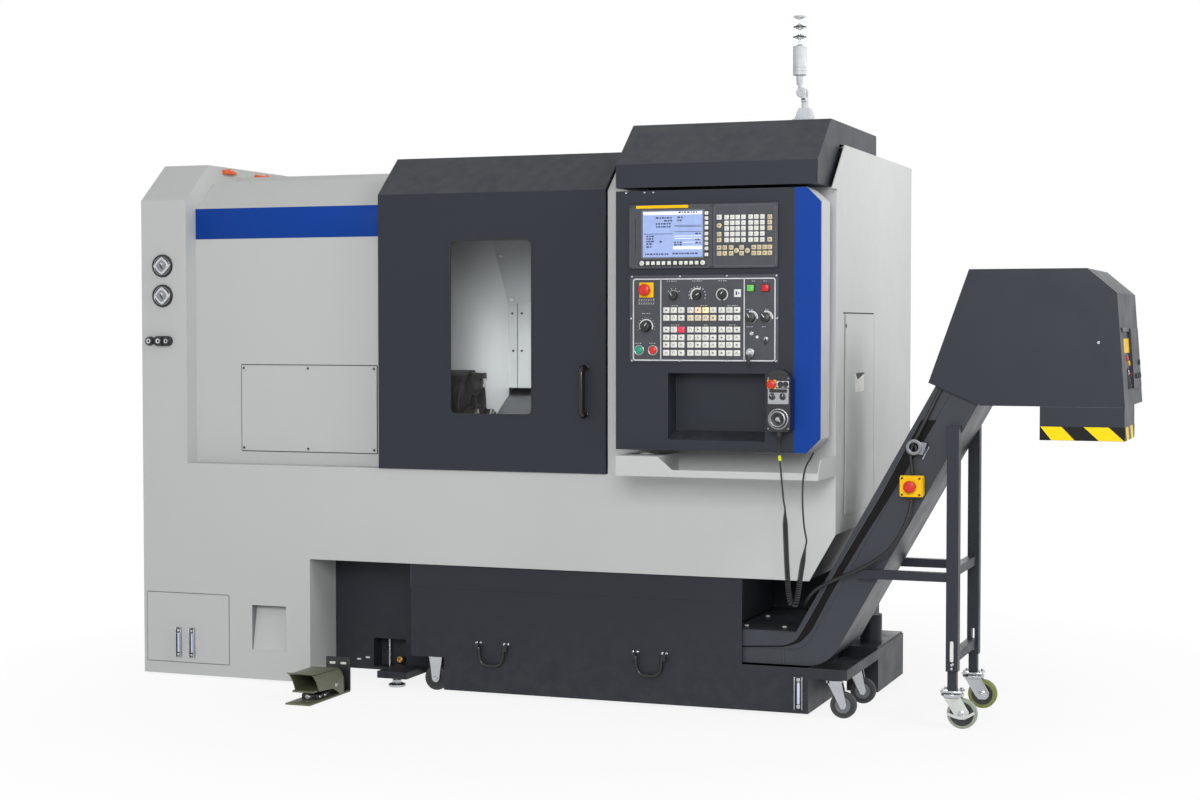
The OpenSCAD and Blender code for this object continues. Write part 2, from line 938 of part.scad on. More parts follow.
module rear_cover() {
    t = sheet_t;
    color(light_grey) difference() {
        union() {
            plate_xz([[0, back_low], [base_x1, back_low], [base_x1, clip_z], [body_len, clip_z],
                      [body_len, main_roof_z], [0, main_roof_z]], body_rear, body_depth);
            slab(column_w, panel_x1, panel_roof_y, body_rear, left_roof_z - t, left_roof_z);
            slab(column_w, panel_x1, panel_roof_y, panel_roof_y + t, panel_top - t, left_roof_z);
            slab(panel_x1, body_len - t, main_roof_y, body_rear, main_roof_z - t, main_roof_z);
            slab(panel_x1, panel_x1 + t, main_roof_y, body_rear, panel_top, main_roof_z);
            slab(panel_x1, pillar_x, main_roof_y, main_roof_y + t, panel_top, main_roof_z);
            for (s = back_door_shares)
                slab(s * body_len, s * body_len + back_door_w, body_depth, body_depth + back_door_t,
                     back_door_z, back_door_z + back_door_h);
        }
        for (s = back_door_shares)
            for (k = [0:vent_rows - 1])
                slab(s * body_len + (back_door_w - vent_w) / 2, s * body_len + (back_door_w + vent_w) / 2,
                     body_depth, body_depth + back_door_t + over,
                     vent_z + k * vent_pitch, vent_z + k * vent_pitch + vent_h);
    }
}

module right_cover() {
    t = sheet_t;
    color(light_grey) {
        plate_yz([[t, clip_z], [t, ledge_z], [0, ledge_z], [0, cover_slope[0][1]], cover_slope[0],
                  cover_slope[1], [body_rear, main_roof_z], [body_rear, clip_z]], body_len - t, body_len);
        slab(pillar_x, body_len, 0, t, ledge_z, hood_low);
        slab(pillar_x, pillar_x + t, 0, pillar_d, ledge_z, hood_low);
        plate_yz([[0, hood_low], [0, bend_z - t], [slope_run, main_roof_z], [main_roof_y, main_roof_z],
                  [main_roof_y, main_roof_z - t], [slope_run + t, main_roof_z - t], [t, bend_z - 2 * t],
                  [t, hood_low]], pillar_x, console_x - t);
    }
}

module side_door() {
    color(light_grey) difference() {
        slab(body_len, body_len + side_t, side_y, side_y + side_d, side_z, side_z + side_h);
        slab(body_len - over, body_len + side_t + over, latch_y, latch_y + latch_d,
             latch_z, latch_z + latch_h);
    }
    color(steel) slab(body_len, body_len + side_t, latch_y, latch_y + latch_bar, latch_z, latch_z + latch_h);
}

module chamber_lining() {
    t = sheet_t;
    wall = [[lining_y, lining_low], [lining_y, lining_top - hem], [lining_y + hem, lining_top],
            [lining_head[0], lining_top], lining_head, lining_knee, [lining_back, lining_low]];
    color(light_grey) {
        difference() {
            plate_yz(wall, lining_x0, lining_x0 + t);
            rod_x(spindle_y, spindle_z, lining_hole_r, lining_x0 - over, lining_x0 + t + over);
        }
        plate_yz(wall, lining_x1 - t, lining_x1);
        plate_yz([[lining_back, lining_foot], lining_knee, lining_head, [lining_head[0], lining_top],
                  [lining_head[0] - t, lining_top], lining_head - [t, t / 2], lining_knee - [t, t / 2],
                  [lining_back - t, lining_foot]], lining_x0, lining_x1);
        plate_yz([[lining_y, ledge_z], [lining_y + t, ledge_z], chute_end + [t, 0], chute_end],
                 lining_x0, lining_x1);
    }
}

// Door
module door_panel() {
    t = sheet_t;
    f = -door_out;
    back = f + door_d;
    skin = [[f, door_low], [f, bend_z], [door_top_y, door_top], [door_top_y + t, door_top - t],
            [f + t, bend_z - t / 2], [f + t, door_low]];
    side = [[f, door_low], [f, bend_z], [door_top_y, door_top], [door_top_y + t, door_top - t],
            [back, bend_z - door_hem], [back, door_low]];
    color(slate) difference() {
        union() {
            plate_yz(skin, door_x, door_x1);
            plate_yz(side, door_x, door_x + t);
            plate_yz(side, door_x1 - t, door_x1);
            slab(door_x, door_x1, f, back, door_low, door_low + t);
        }
        round_hole(window_x, window_z, window_w, window_h, window_r, f - over, f + t + over);
    }
}

module door_window() {
    y = sheet_t - door_out;
    color(glass) round_hole(window_x - glass_lap, window_z - glass_lap, window_w + 2 * glass_lap,
                            window_h + 2 * glass_lap, window_r, y, y + glass_t);
}

module door_handle() {
    f = -door_out;
    color(black) {
        round_hole(handle_x, handle_z, handle_w, handle_h, handle_r, f - handle_out,
                   f - handle_out + handle_t);
        for (z = [handle_z, handle_z + handle_h - handle_foot])
            round_hole(handle_x, z, handle_w, handle_foot, handle_r, f - handle_out, f);
    }
}

// Console
module console_housing() {
    color(slate) difference() {
        union() {
            slab(console_x, console_x1, console_y, console_back, console_low, console_top);
            key_block(pendant_x + pendant_w / 2, pendant_z + pendant_h / 2, console_y,
                      holder_w, holder_h, holder_t);
        }
        plate_yz([[console_y - over, shelf_z], [console_y + shelf_d, shelf_z + shelf_rise],
                  [console_y + shelf_d, shelf_z + shelf_h], [console_y - over, shelf_z + shelf_h]],
                 shelf_x, shelf_x + shelf_w);
        rod_z(pivot_x, pivot_y, pivot_r + fit, console_low - over, console_low + pivot_in);
        rod_z(pivot_x, pivot_y, pivot_r + fit, console_top - pivot_in, console_top + over);
        for (p = [estop_at, start_at, hold_at, feed_at])
            rod_y(p[0], p[1], stem_r + play, console_y - over, console_y + stem_hole + over);
    }
}

module blue_side_panel() {
    color(blue) plate_xz([[console_x1, console_low], [console_x2 - side_bevel_w, console_low],
        [console_x2, console_low + side_bevel_w], [console_x2, console_top - side_bevel_w],
        [console_x2 - side_bevel_w, console_top], [console_x1, console_top]], console_y, console_back);
}

module key_block(x, z, y, w, h, t) {
    slab(x - w / 2, x + w / 2, y - t, y, z - h / 2, z + h / 2);
}

module control_unit() {
    y = console_y - unit_t;
    x0 = unit_x + screen_x;
    x1 = x0 + screen_w;
    z0 = unit_z + screen_z;
    color(black) {
        difference() {
            slab(unit_x, unit_x + unit_w, y, console_y, unit_z, unit_z + unit_h);
            slab(x0, x1, y - over, y + screen_d, z0, z0 + screen_h);
            slab(unit_x + unit_split, unit_x + unit_split + play, y - over, y + screen_d,
                 unit_z - over, unit_z + unit_h + over);
        }
        for (k = [0:soft_n - 1])
            key_block(x0 + screen_w * (k + 0.5) / soft_n, (unit_z + z0) / 2, y, key_w, key_h, key_t);
        for (k = [0:soft_side_n - 1])
            key_block((x1 + unit_x + unit_split) / 2, z0 + screen_h * (k + 0.5) / soft_side_n,
                      y, key_w, key_h, key_t);
        for (u = pad_col_shares, v = pad_row_shares)
            key_block(unit_x + u * unit_w, unit_z + v * unit_h, y, key_w, key_h, key_t);
        for (u = low_col_shares, v = low_row_shares)
            key_block(unit_x + u * unit_w, unit_z + v * unit_h, y, key_w, key_h, key_t);
        for (s = round_key_shares)
            rod_y(unit_x + s[0] * unit_w, unit_z + s[1] * unit_h, key_w / 2, y - key_t, y);
    }
}

module operator_panel() {
    y = console_y - panel_t;
    color(dark_slate) difference() {
        union() {
            slab(unit_x, unit_x + panel_w, y, console_y, panel_z, panel_z + panel_h);
            key_block(estop_at[0], estop_at[1], y, estop_plate, estop_plate, estop_plate_t);
            for (p = [start_at, hold_at])
                rod_y(p[0], p[1], push_ring_r, y - push_ring_h, y);
            rod_y(feed_at[0], feed_at[1], feed_base_r, y - feed_base_h, y);
            for (s = dial_shares)
                rod_y(on_panel(s)[0], on_panel(s)[1], dial_r, y - dial_h, y);
            for (s = selector_shares)
                rod_y(on_panel(s)[0], on_panel(s)[1], selector_r, y - dial_h, y);
            for (s = lamp_shares)
                key_block(on_panel(s)[0], on_panel(s)[1], y, lamp_w, lamp_w, lamp_h);
            for (g = [0:len(cap_cols) - 1], i = [0:cap_cols[g] - 1], v = cap_row_shares)
                key_block(on_panel([cap_col_shares[g], 0])[0] + i * cap_pitch, on_panel([0, v])[1],
                          y, cap_w, cap_h, cap_t);
        }
        for (p = [start_at, hold_at])
            rod_y(p[0], p[1], push_r + play, y - push_ring_h - over, console_y + over);
        for (p = [estop_at, feed_at])
            rod_y(p[0], p[1], stem_r + play, y - push_ring_h - over, console_y + over);
    }
}

module stop_head(x, z, y, stem_y) {
    color(red) {
        rod_y(x, z, estop_stem_r, y - estop_h, y - estop_travel - play);
        rod_y(x, z, estop_r, y - estop_h, y - estop_h + estop_cap_h);
        rod_y(x, z, stem_r, y - estop_h, stem_y);
    }
}

module estop_button() {
    stop_head(estop_at[0], estop_at[1], console_y - panel_t - estop_plate_t,
              console_y + stem_hole - estop_travel - play);
}

module push_button(p, tint) {
    color(tint) {
        rod_y(p[0], p[1], push_r, console_y - panel_t - push_h, console_y - push_travel - play);
        rod_y(p[0], p[1], stem_r, console_y - panel_t - push_h, console_y + stem_hole - push_travel - play);
    }
}

module cycle_start_button() {
    push_button(start_at, green);
}

module feed_hold_button() {
    push_button(hold_at, red);
}

module feed_override_knob() {
    x = feed_at[0];
    z = feed_at[1];
    y = console_y - panel_t - feed_base_h - play;
    color(black) {
        rod_y(x, z, feed_r, y - feed_h, y);
        rod_y(x, z, stem_r + play - fit, y - feed_h, console_y + stem_hole - play);
        key_block(x, z, y - feed_h, feed_grip, 2 * feed_r, feed_base_h);
    }
}

module console_hood() {
    t = sheet_t;
    f = console_y;
    knee = hood_low + hood_face;
    color(slate) {
        plate_yz([[f, hood_low], [f, knee], [0, hood_top], [hood_y1, hood_top], [hood_y1, main_roof_z],
                  [hood_y1 - t, main_roof_z], [hood_y1 - t, hood_top - t], [t / 2, hood_top - t],
                  [f + t, knee - t / 2], [f + t, hood_low + t], [-play, hood_low + t], [-play, hood_low]],
                 console_x, hood_x1);
        for (x = [console_x, hood_x1 - t])
            plate_yz([[f, hood_low], [f, knee], [0, hood_top], [hood_y1, hood_top], [hood_y1, hood_cap[1][1]],
                      hood_cap[1], hood_cap[0], [-play, hood_cap[0][1]], [-play, hood_low]], x, x + t);
        rod_z(pivot_x, pivot_y, pivot_r, console_top - pivot_in + play, hood_low);
    }
}

module console_tray() {
    t = sheet_t;
    x1 = body_len;
    color(light_grey) {
        plate_xz([[tray_x0, tray_low], [x1, tray_low], [x1, tray_low + tray_lip],
                  [tray_x0 + tray_block + tray_slope_w, tray_low + tray_lip],
                  [tray_x0 + tray_block, tray_top], [tray_x0, tray_top]], tray_y, tray_y + t);
        slab(tray_x0, x1, tray_y, 0, tray_low, tray_low + t);
        slab(tray_x0, x1, -t, 0, tray_low, tray_top);
        slab(tray_x0, tray_x0 + t, tray_y, 0, tray_low, tray_top);
        slab(tray_x0 + tray_block - t, tray_x0 + tray_block, tray_y, 0, tray_low, tray_top);
        slab(tray_x0, tray_x0 + tray_block, tray_y, 0, tray_top - t, tray_top);
        plate_yz([[tray_y, tray_low], [tray_y, tray_low + tray_lip], [tray_y + tray_end_w, tray_top],
                  [0, tray_top], [0, tray_low]], x1 - t, x1);
        rod_z(pivot_x, pivot_y, collar_r, tray_top, tray_top + collar_h);
        rod_z(pivot_x, pivot_y, pivot_r, tray_top, console_low + pivot_in - play);
    }
}

// Signal tower
module signal_tower_base() {
    ear = tower_eye_t / 2 + play;
    out = ear + tower_ear_t;
    color(steel) {
        translate([tower_x, tower_y, hood_top])
            cylinder(r1 = tower_foot_r, r2 = tower_neck_r, h = tower_foot_h);
        rod_z(tower_x, tower_y, tower_pole_r, hood_top, tower_hinge_z - tower_ear_r - play);
        for (s = [-1, 1]) {
            y0 = s > 0 ? ear : -out;
            rod_y(tower_hinge_x, tower_hinge_z, tower_ear_r, tower_y + y0, tower_y + y0 + tower_ear_t);
            slab(tower_hinge_x, tower_hinge_x + tower_ear_r, tower_y + y0, tower_y + y0 + tower_ear_t,
                 tower_hinge_z - 2 * tower_ear_r, tower_hinge_z);
        }
        slab(tower_hinge_x, tower_hinge_x + tower_ear_r, tower_y - out, tower_y + out,
             tower_hinge_z - 2 * tower_ear_r, tower_hinge_z - tower_ear_r - play);
        rod_y(tower_hinge_x, tower_hinge_z, tower_pin_r, tower_y - out, tower_y + out);
    }
}

module signal_tower_head() {
    half = tower_eye_t / 2;
    tiers_z = tower_body_z + tower_body_h;
    color(steel) {
        difference() {
            union() {
                rod_y(tower_hinge_x, tower_hinge_z, tower_ear_r - over, tower_y - half, tower_y + half);
                rod_z(tower_head_x, tower_y, half - over, tower_hinge_z, tower_body_z);
            }
            rod_y(tower_hinge_x, tower_hinge_z, tower_pin_r + fit, tower_y - half - over,
                  tower_y + half + over);
        }
        rod_z(tower_head_x, tower_y, tower_pole_r, tower_hinge_z + 2 * tower_ear_r, tower_body_z);
        rod_z(tower_head_x, tower_y, tower_body_r, tower_body_z, tiers_z);
        for (k = [0:tier_n - 1]) {
            rod_z(tower_head_x, tower_y, tier_r, tiers_z + k * (tier_h + tier_gap),
                  tiers_z + k * (tier_h + tier_gap) + tier_h);
            rod_z(tower_head_x, tower_y, tier_r - tier_gap / 2, tiers_z + k * (tier_h + tier_gap) + tier_h,
                  tiers_z + (k + 1) * (tier_h + tier_gap));
        }
        rod_z(tower_head_x, tower_y, tower_body_r, tiers_z + tier_n * (tier_h + tier_gap),
              tiers_z + tier_n * (tier_h + tier_gap) + tower_cap_h);
    }
}

// Gauges on the left column, the left block and the tank
module level_gauge(x, z, y, w) {
    slot = level_slot_share * w;
    difference() {
        slab(x - w / 2, x + w / 2, y - level_d, y, z, z + level_h);
        slab(x - slot, x + slot, y - level_d - over, y - level_d / 2, z + w, z + level_h - w);
    }
    rod_z(x, y - level_d / 2, level_tube_share * w, z + w / 2, z + level_h - w / 2);
}

module gauges() {
    color(black) for (z = gauge_z) difference() {
        rod_y(gauge_x, z, gauge_r, -gauge_d, 0);
        rod_y(gauge_x, z, gauge_face_r, -gauge_d - over, gauge_face_d - gauge_d);
    }
    color(black) {
        slab(adjust_plate[0], adjust_plate[0] + adjust_plate[1], -adjust_t, 0,
             adjust_z - adjust_plate[2] / 2, adjust_z + adjust_plate[2] / 2);
        for (k = adjust_shares)
            rod_y(adjust_plate[0] + k[0] * adjust_plate[1], adjust_z, k[1] * adjust_plate[2],
                  -adjust_t - k[2] * adjust_plate[2], -adjust_t);
    }
    color(steel) {
        for (s = level_shares)
            level_gauge(block_plate[0] + s * block_plate[2], level_z, -block_plate_t, level_w);
        level_gauge(tank_deep_x1 - tank_level_in, tank_level_z, tank_y, tank_level_w);
    }
}

// Coolant tank with its pull handles and wheels
module bail_lugs(x) {
    for (s = [-1, 1])
        slab(x + s * bail_w / 2 - bail_lug_w / 2, x + s * bail_w / 2 + bail_lug_w / 2,
             tank_y - bail_out - bail_lug / 2, tank_y, bail_z - bail_lug, bail_z + bail_lug);
}

module bail_bores(x) {
    rod_x(tank_y - bail_out, bail_z, bail_r + fit, x - bail_w / 2 - bail_lug_w / 2 - over,
          x + bail_w / 2 + bail_lug_w / 2 + over);
}

module caster_seat(x, y, z) {
    slab(x - caster_pad[0] / 2, x + caster_pad[0] / 2, y - caster_pad[1] / 2, y + caster_pad[1] / 2,
         z - caster_pad[2], z);
}

module coolant_tank() {
    t = sheet_t;
    seat_z = tank_wing_low;
    wx = left_wheel[0];
    wy = left_wheel[1];
    cheek = wheel_w / 2 + fork_side;
    color(dark_slate) difference() {
        union() {
            slab(tank_deep_x0, pit_x, tank_y, tank_y1, tank_low, tank_top);
            slab(tank_x0, pit_x, tank_y, tank_y1, tank_left_low, tank_top);
            slab(pit_x, apron_x1, tank_y, tank_y + t, tank_low, tank_top);
            slab(pit_x, tank_deep_x1, tank_y, tank_y1, tank_low, wing_top);
            slab(tank_deep_x1, tank_x1, tank_y, tank_bay_y, tank_wing_low, wing_top);
            slab(sump_x, tank_x1, tank_bay_y, sump_y1, sump_low, wing_top);
            slab(sump_x + t, tank_x1 - t, tank_bay_y + t, sump_y1 - t, wing_top, wing_top + sump_lid);
            rod_z(sump_x + pump_at[0], tank_bay_y + pump_at[1], pump_r, wing_top, wing_top + pump_h);
            for (x = bail_x) bail_lugs(x);
            for (y = tank_caster_y) caster_seat(tank_caster_x, y, seat_z);
        }
        slab(tank_deep_x0 + t, pit_x + over, tank_y + t, tank_y1 - t, tank_low + t, tank_top + over);
        slab(tank_x0 + t, pit_x + over, tank_y + t, tank_y1 - t, tank_left_low + t, tank_top + over);
        slab(pit_x, tank_deep_x1 - t, tank_y + t, tank_y1 - t, tank_low + t, tank_top + over);
        slab(tank_deep_x1, tank_x1 - t, tank_y + t, tank_bay_y - t, tank_wing_low + t, wing_top + over);
        slab(pit_x - t - apron_gap, pit_x + over, tank_y + t, tank_y1 + over, wing_top, tank_top + over);
        for (x = bail_x) bail_bores(x);
        for (y = tank_caster_y)
            rod_z(tank_caster_x, y, swivel_r + fit, seat_z - caster_pad[2] - over, seat_z + t + over);
    }
    color(steel) {
        caster_seat(wx, wy, tank_left_low);
        for (s = [-1, 1])
            slab(wx - fork_ear_r, wx + fork_ear_r, wy + s * cheek - fork_t / 2, wy + s * cheek + fork_t / 2,
                 tank_wheel_r - fork_ear_r, tank_left_low);
        rod_y(wx, tank_wheel_r, axle_r, wy - cheek, wy + cheek);
    }
}

module bail(x) {
    y = tank_y - bail_out;
    half = bail_w / 2;
    low = bail_z - bail_drop;
    color(black) {
        for (s = [-1, 1]) {
            rod_x(y, bail_z, bail_r, min(s * (half - bail_lug_w), s * (half + bail_lug_w / 2)) + x,
                  max(s * (half - bail_lug_w), s * (half + bail_lug_w / 2)) + x);
            rod_z(x + s * (half - bail_lug_w), y, bail_r, low, bail_z);
            translate([x + s * (half - bail_lug_w), y, bail_z]) sphere(bail_r);
            translate([x + s * (half - bail_lug_w), y, low]) sphere(bail_r);
        }
        rod_x(y, low, bail_r, x - half + bail_lug_w, x + half - bail_lug_w);
    }
}

module tank_handle_left() {
    bail(bail_x[0]);
}

module tank_handle_right() {
    bail(bail_x[1]);
}

module wheel(x, y, r) {
    color(black) difference() {
        union() {
            translate([x, y + wheel_w / 2, r]) rotate([90, 0, 0]) rotate_extrude()
                translate([0, wheel_w / 2]) offset(fork_t) offset(-fork_t)
                    translate([0, -wheel_w / 2]) square([r, wheel_w]);
        }
        rod_y(x, r, axle_r + fit, y - wheel_w / 2 - over, y + wheel_w / 2 + over);
        for (s = [-1, 1])
            translate([x, y + s * wheel_w / 2, r]) rotate([90, 0, 0]) difference() {
                cylinder(r = rim_share * r, h = fork_t, center = true);
                cylinder(r = hub_r, h = 2 * fork_t, center = true);
            }
    }
}

module fork(x, y, r, off, top) {
    cheek = wheel_w / 2 + fork_side;
    crown = top - crown_h;
    color(steel) {
        rod_z(x, y, swivel_r, crown, top + swivel_gap + caster_pad[2] + sheet_t);
        rod_z(x, y, fork_crown_r, crown, top);
        for (s = [-1, 1])
            plate_xz([[x - fork_crown_r, top], [x + fork_crown_r, top], [x + off + fork_ear_r, r],
                      [x + off + fork_ear_r / 2, r - fork_ear_r], [x + off - fork_ear_r / 2, r - fork_ear_r],
                      [x + off - fork_ear_r, r]], y + s * cheek - fork_t / 2, y + s * cheek + fork_t / 2);
        slab(x - fork_crown_r, x + fork_crown_r, y - cheek, y + cheek, crown, top);
        rod_y(x + off, r, axle_r, y - cheek, y + cheek);
    }
}

module tank_fork(y) {
    fork(tank_caster_x, y, tank_wheel_r, trail, tank_wing_low - caster_pad[2] - swivel_gap);
}

module tank_caster_front_fork() {
    tank_fork(tank_caster_y[0]);
}

module tank_caster_rear_fork() {
    tank_fork(tank_caster_y[1]);
}

module tank_caster_front_wheel() {
    wheel(tank_caster_x + trail, tank_caster_y[0], tank_wheel_r);
}

module tank_caster_rear_wheel() {
    wheel(tank_caster_x + trail, tank_caster_y[1], tank_wheel_r);
}

module tank_wheel_left() {
    wheel(left_wheel[0], left_wheel[1], tank_wheel_r);
}

// Chip conveyor
function slope_x(z) = incline_x + (z - trough_top) / incline;

// One side line: level at height z, a round bend, then up the slope
function bent_line(z, w, r) = let (a = atan(incline), x = slope_x(z) + w - r * tan(a / 2))
    [for (k = [0:bend_steps]) [x + r * sin(a * k / bend_steps), z + r - r * cos(a * k / bend_steps)]];
function turned(p) = [for (k = [len(p) - 1:-1:0]) p[k]];
function bent_strip(x0, low, w_low, high, w_high, top) = concat([[x0, low]],
    bent_line(low, w_low, bend_r + trough_top - low),
    [[slope_x(top) + w_low, top], [slope_x(top) + w_high, top]],
    turned(bent_line(high, w_high, bend_r + trough_top - high)), [[x0, high]]);

function trough_outline(inset, top) = let (s = inset * sqrt(1 + pow(incline, 2)) / incline)
    bent_strip(trough_x0 + inset, trough_low + inset, incline_w - s, trough_top - inset, s, top);

module conveyor_trough() {
    t = sheet_t;
    rail_low = trough_top - rail_w * sin(atan(incline));
    rail = bent_strip(cover_x0, rail_low, rail_w, trough_top, 0, trough_end_z);
    guide = bent_strip(trough_x0 + t, belt_z - t, belt_x + t, belt_z, belt_x, trough_end_z);
    ring_x = incline_x + ring_gap_w;
    ring_y = trough_y - ring_t - rail_t;
    color(slate) {
        difference() {
            union() {
                plate_xz(trough_outline(0, trough_end_z), trough_y, trough_y1);
                for (y = [trough_y - rail_t, trough_y1])
                    plate_xz(rail, y, y + rail_t);
                slab(cover_x0, incline_x, trough_y, cover_y1, trough_top, trough_top + t);
                rod_y(ring_x, ring_z, ring_r, ring_y, trough_y);
            }
            plate_xz(trough_outline(t, trough_end_z + over), trough_y + t, trough_y1 - t);
            slab(trough_x0 + t, cover_x0 - t, trough_y + t, trough_y1 - t,
                 trough_top - 2 * t, trough_top + over);
            rod_y(ring_x, ring_z, ring_in, ring_y - over, trough_y - over);
        }
        for (y = [trough_y + t, trough_y1 - t - guide_w])
            plate_xz(guide, y, y + guide_w);
    }
}

module conveyor_belt() {
    links = bent_strip(trough_x0 + belt_in, belt_z, belt_x, belt_z + belt_t, belt_x - belt_t, trough_end_z);
    color(steel) plate_xz(links, trough_y + belt_in, trough_y1 - belt_in);
}

module head_outline(i) {
    polygon([[head_x0 + i, head_in_z], [head_x1 + i, head_top - i], [head_x2 - i / 2, head_top - i],
             [head_x3 - i, head_knee - i / 2], [head_x4 - i, head_low + i], [head_in_x, head_low + i]]);
}

module conveyor_hood() {
    t = sheet_t;
    function face_x(z) = head_x3 + (head_knee - z) * head_lean;
    color(slate) {
        difference() {
            union() {
                translate([0, head_y1, 0]) rotate([90, 0, 0]) linear_extrude(head_w) head_outline(0);
                slab(chute_x, head_x4, head_y, chute_y1, chute_low, head_low);
            }
            slab(chute_x + t, head_x4 - t, head_y + t, chute_y1 - t, chute_low - over, head_low + t + over);
            translate([0, head_y1 - t, 0]) rotate([90, 0, 0]) linear_extrude(head_w - 2 * t) head_outline(t);
            slab(head_x0 - over, head_in_x + over, trough_y - rail_t - play, trough_y1 + rail_t + play,
                 head_low - over, trough_end_z);
        }
        plate_xz([[face_x(unit_high), unit_high], [face_x(unit_high) + head_unit_t, unit_high],
                  [face_x(unit_low) + head_unit_t, unit_low], [face_x(unit_low), unit_low]],
                 unit_y, unit_y + unit_d);
        for (s = head_key_shares) {
            z = unit_low + s[1] * (unit_high - unit_low);
            translate([face_x(z), unit_y + s[0] * unit_d, z]) rotate([0, 90 - head_angle, 0])
                cylinder(r = head_key_r, h = head_unit_t + head_key_h);
        }
    }
}

module stand_leg(y, pad_y) {
    mid = leg_x + leg_w / 2;
    in = (leg_w - inner_w) / 2;
    slot_z = leg_low + slot_up;
    y0 = min(y + leg_w / 2, pad_y);
    y1 = max(y + leg_w / 2, pad_y);
    difference() {
        union() {
            slab(leg_x, leg_x + leg_w, y, y + leg_w, leg_low, leg_top);
            slab(leg_x + in, leg_x + leg_w - in, y + in, y + leg_w - in, inner_low, leg_low);
            slab(mid - caster_pad[0] / 2, mid + caster_pad[0] / 2, y + leg_w / 2 - caster_pad[1] / 2,
                 y + leg_w / 2 + caster_pad[1] / 2, inner_low, inner_low + foot_plate_t);
        }
        slab(mid - slot_w / 2, mid + slot_w / 2, y - over, y + leg_w + over, slot_z, slot_z + slot_h);
        rod_z(mid, y + leg_w / 2, swivel_r + fit, inner_low - over, inner_low + foot_plate_t + sheet_t);
    }
    slab(brace_x, leg_x, y + (leg_w - brace_h) / 2, y + (leg_w + brace_h) / 2, brace_z, brace_z + brace_h);
    slab(brace_x, brace_x + pad_len, y0, y1, brace_z, brace_z + brace_h);
    slab(leg_x, leg_x + leg_w, y0, y1, leg_top - brace_h, leg_top);
}

module conveyor_stand() {
    color(slate) {
        stand_leg(front_leg_y, trough_y);
        stand_leg(rear_leg_y, trough_y1);
        for (z = [cross_bar_low, cross_bar_high])
            slab(leg_x, leg_x + cross_bar, front_leg_y + leg_w / 2, rear_leg_y + leg_w / 2, z, z + cross_bar);
    }
}

module stand_caster_front_fork() {
    fork(stand_x, stand_y[0], stand_wheel_r, stand_trail, stand_top);
}

module stand_caster_rear_fork() {
    fork(stand_x, stand_y[1], stand_wheel_r, stand_trail, stand_top);
}

module stand_caster_front_wheel() {
    wheel(stand_x + stand_trail, stand_y[0], stand_wheel_r);
}

module stand_caster_rear_wheel() {
    wheel(stand_x + stand_trail, stand_y[1], stand_wheel_r);
}

module estop_box() {
    color(yellow) difference() {
        round_hole(box_x, box_z, box_w, box_h, screw_r, box_y, box_y + box_d);
        rod_y(box_x + box_w / 2, box_z + box_h / 2, stem_r + play, box_y - over, box_y + stem_hole);
    }
}

module estop_box_button() {
    stop_head(box_x + box_w / 2, box_z + box_h / 2, box_y, box_y + stem_hole - estop_travel - play);
}

// Foot switch on the floor
module foot_switch() {
    x1 = switch_x + switch_w;
    y1 = switch_y + switch_len;
    front = switch_y + guard_front;
    rear = front + guard_d;
    bend = [rear - guard_r, switch_t + guard_h - guard_r];
    function arc(r) = [for (a = [0:guard_step:90]) bend + r * [sin(a), cos(a)]];
    lip = [front - lip_run, switch_t + guard_h + lip_rise];
    brow = [front, switch_t + guard_h];
    side = concat([[front, switch_t], brow], arc(guard_r), [[rear, switch_t]]);
    roof = concat([lip, brow], arc(guard_r), [[rear, switch_t], [rear - cheek_t, switch_t]],
                  turned(arc(guard_r - cheek_t)), [brow - [0, cheek_t], lip - [0, cheek_t]]);
    color(olive) {
        slab(switch_x, x1, switch_y, y1, 0, switch_t);
        plate_yz(roof, switch_x, x1);
        for (x = [switch_x, x1 - cheek_t])
            difference() {
                plate_yz(side, x, x + cheek_t);
                rod_x(rear - guard_r, switch_t + pedal_z, pedal_pin_r + fit, x - over, x + cheek_t + over);
            }
    }
    color(dark_slate) difference() {
        slab(switch_x, x1, y1 - cheek_t, y1, switch_t, switch_t + switch_back_h);
        for (s = [-1, 1])
            hull() for (k = [-1, 1])
                rod_y(switch_x + switch_w / 2 + s * switch_slot_in + k * switch_slot_len / 2,
                      switch_back_h - switch_slot_len, switch_slot_r, y1 - cheek_t - over, y1 + over);
    }
}

module foot_pedal() {
    front = switch_y + pedal_front;
    hinge_y = switch_y + guard_front + guard_d - guard_r;
    hinge_z = switch_t + pedal_z;
    x0 = switch_x + cheek_t + over;
    x1 = switch_x + switch_w - cheek_t - over;
    color(olive) {
        plate_yz([[hinge_y, hinge_z], [front, hinge_z - pedal_tilt], [front, hinge_z - pedal_tilt + pedal_t],
                  [hinge_y, hinge_z + pedal_t]], x0, x1);
        rod_x(hinge_y, hinge_z, pedal_eye_r, x0, x1);
        rod_x(hinge_y, hinge_z, pedal_pin_r, switch_x, switch_x + switch_w);
    }
}

// Hand pendant with its curly cord
module pendant_body() {
    x = pendant_x;
    y = pendant_y - pendant_t;
    wx = x + pendant_w / 2;
    function at(s) = [x + s[0] * pendant_w, pendant_z + s[1] * pendant_h];
    color(black) {
        difference() {
            union() {
                round_hole(x, pendant_z, pendant_w, pendant_h, pendant_neck, y, pendant_y);
                rod_y(wx, pendant_wheel_z, wheel_dial_r, y - wheel_gap, y);
            }
            rod_y(wx, pendant_wheel_z, stem_r + fit, y - wheel_gap - over, y + stem_hole);
        }
        for (s = pendant_key_shares)
            rod_y(at(s)[0], at(s)[1], pendant_key_r, y - pendant_key_h, y);
        rod_z(x + gland_side_w, pendant_y - gland_set, gland_out_r, pendant_z - gland_out_h, pendant_z);
    }
    color(red) rod_y(at(pendant_stop_share)[0], at(pendant_stop_share)[1], pendant_neck, y - estop_cap_h, y);
}

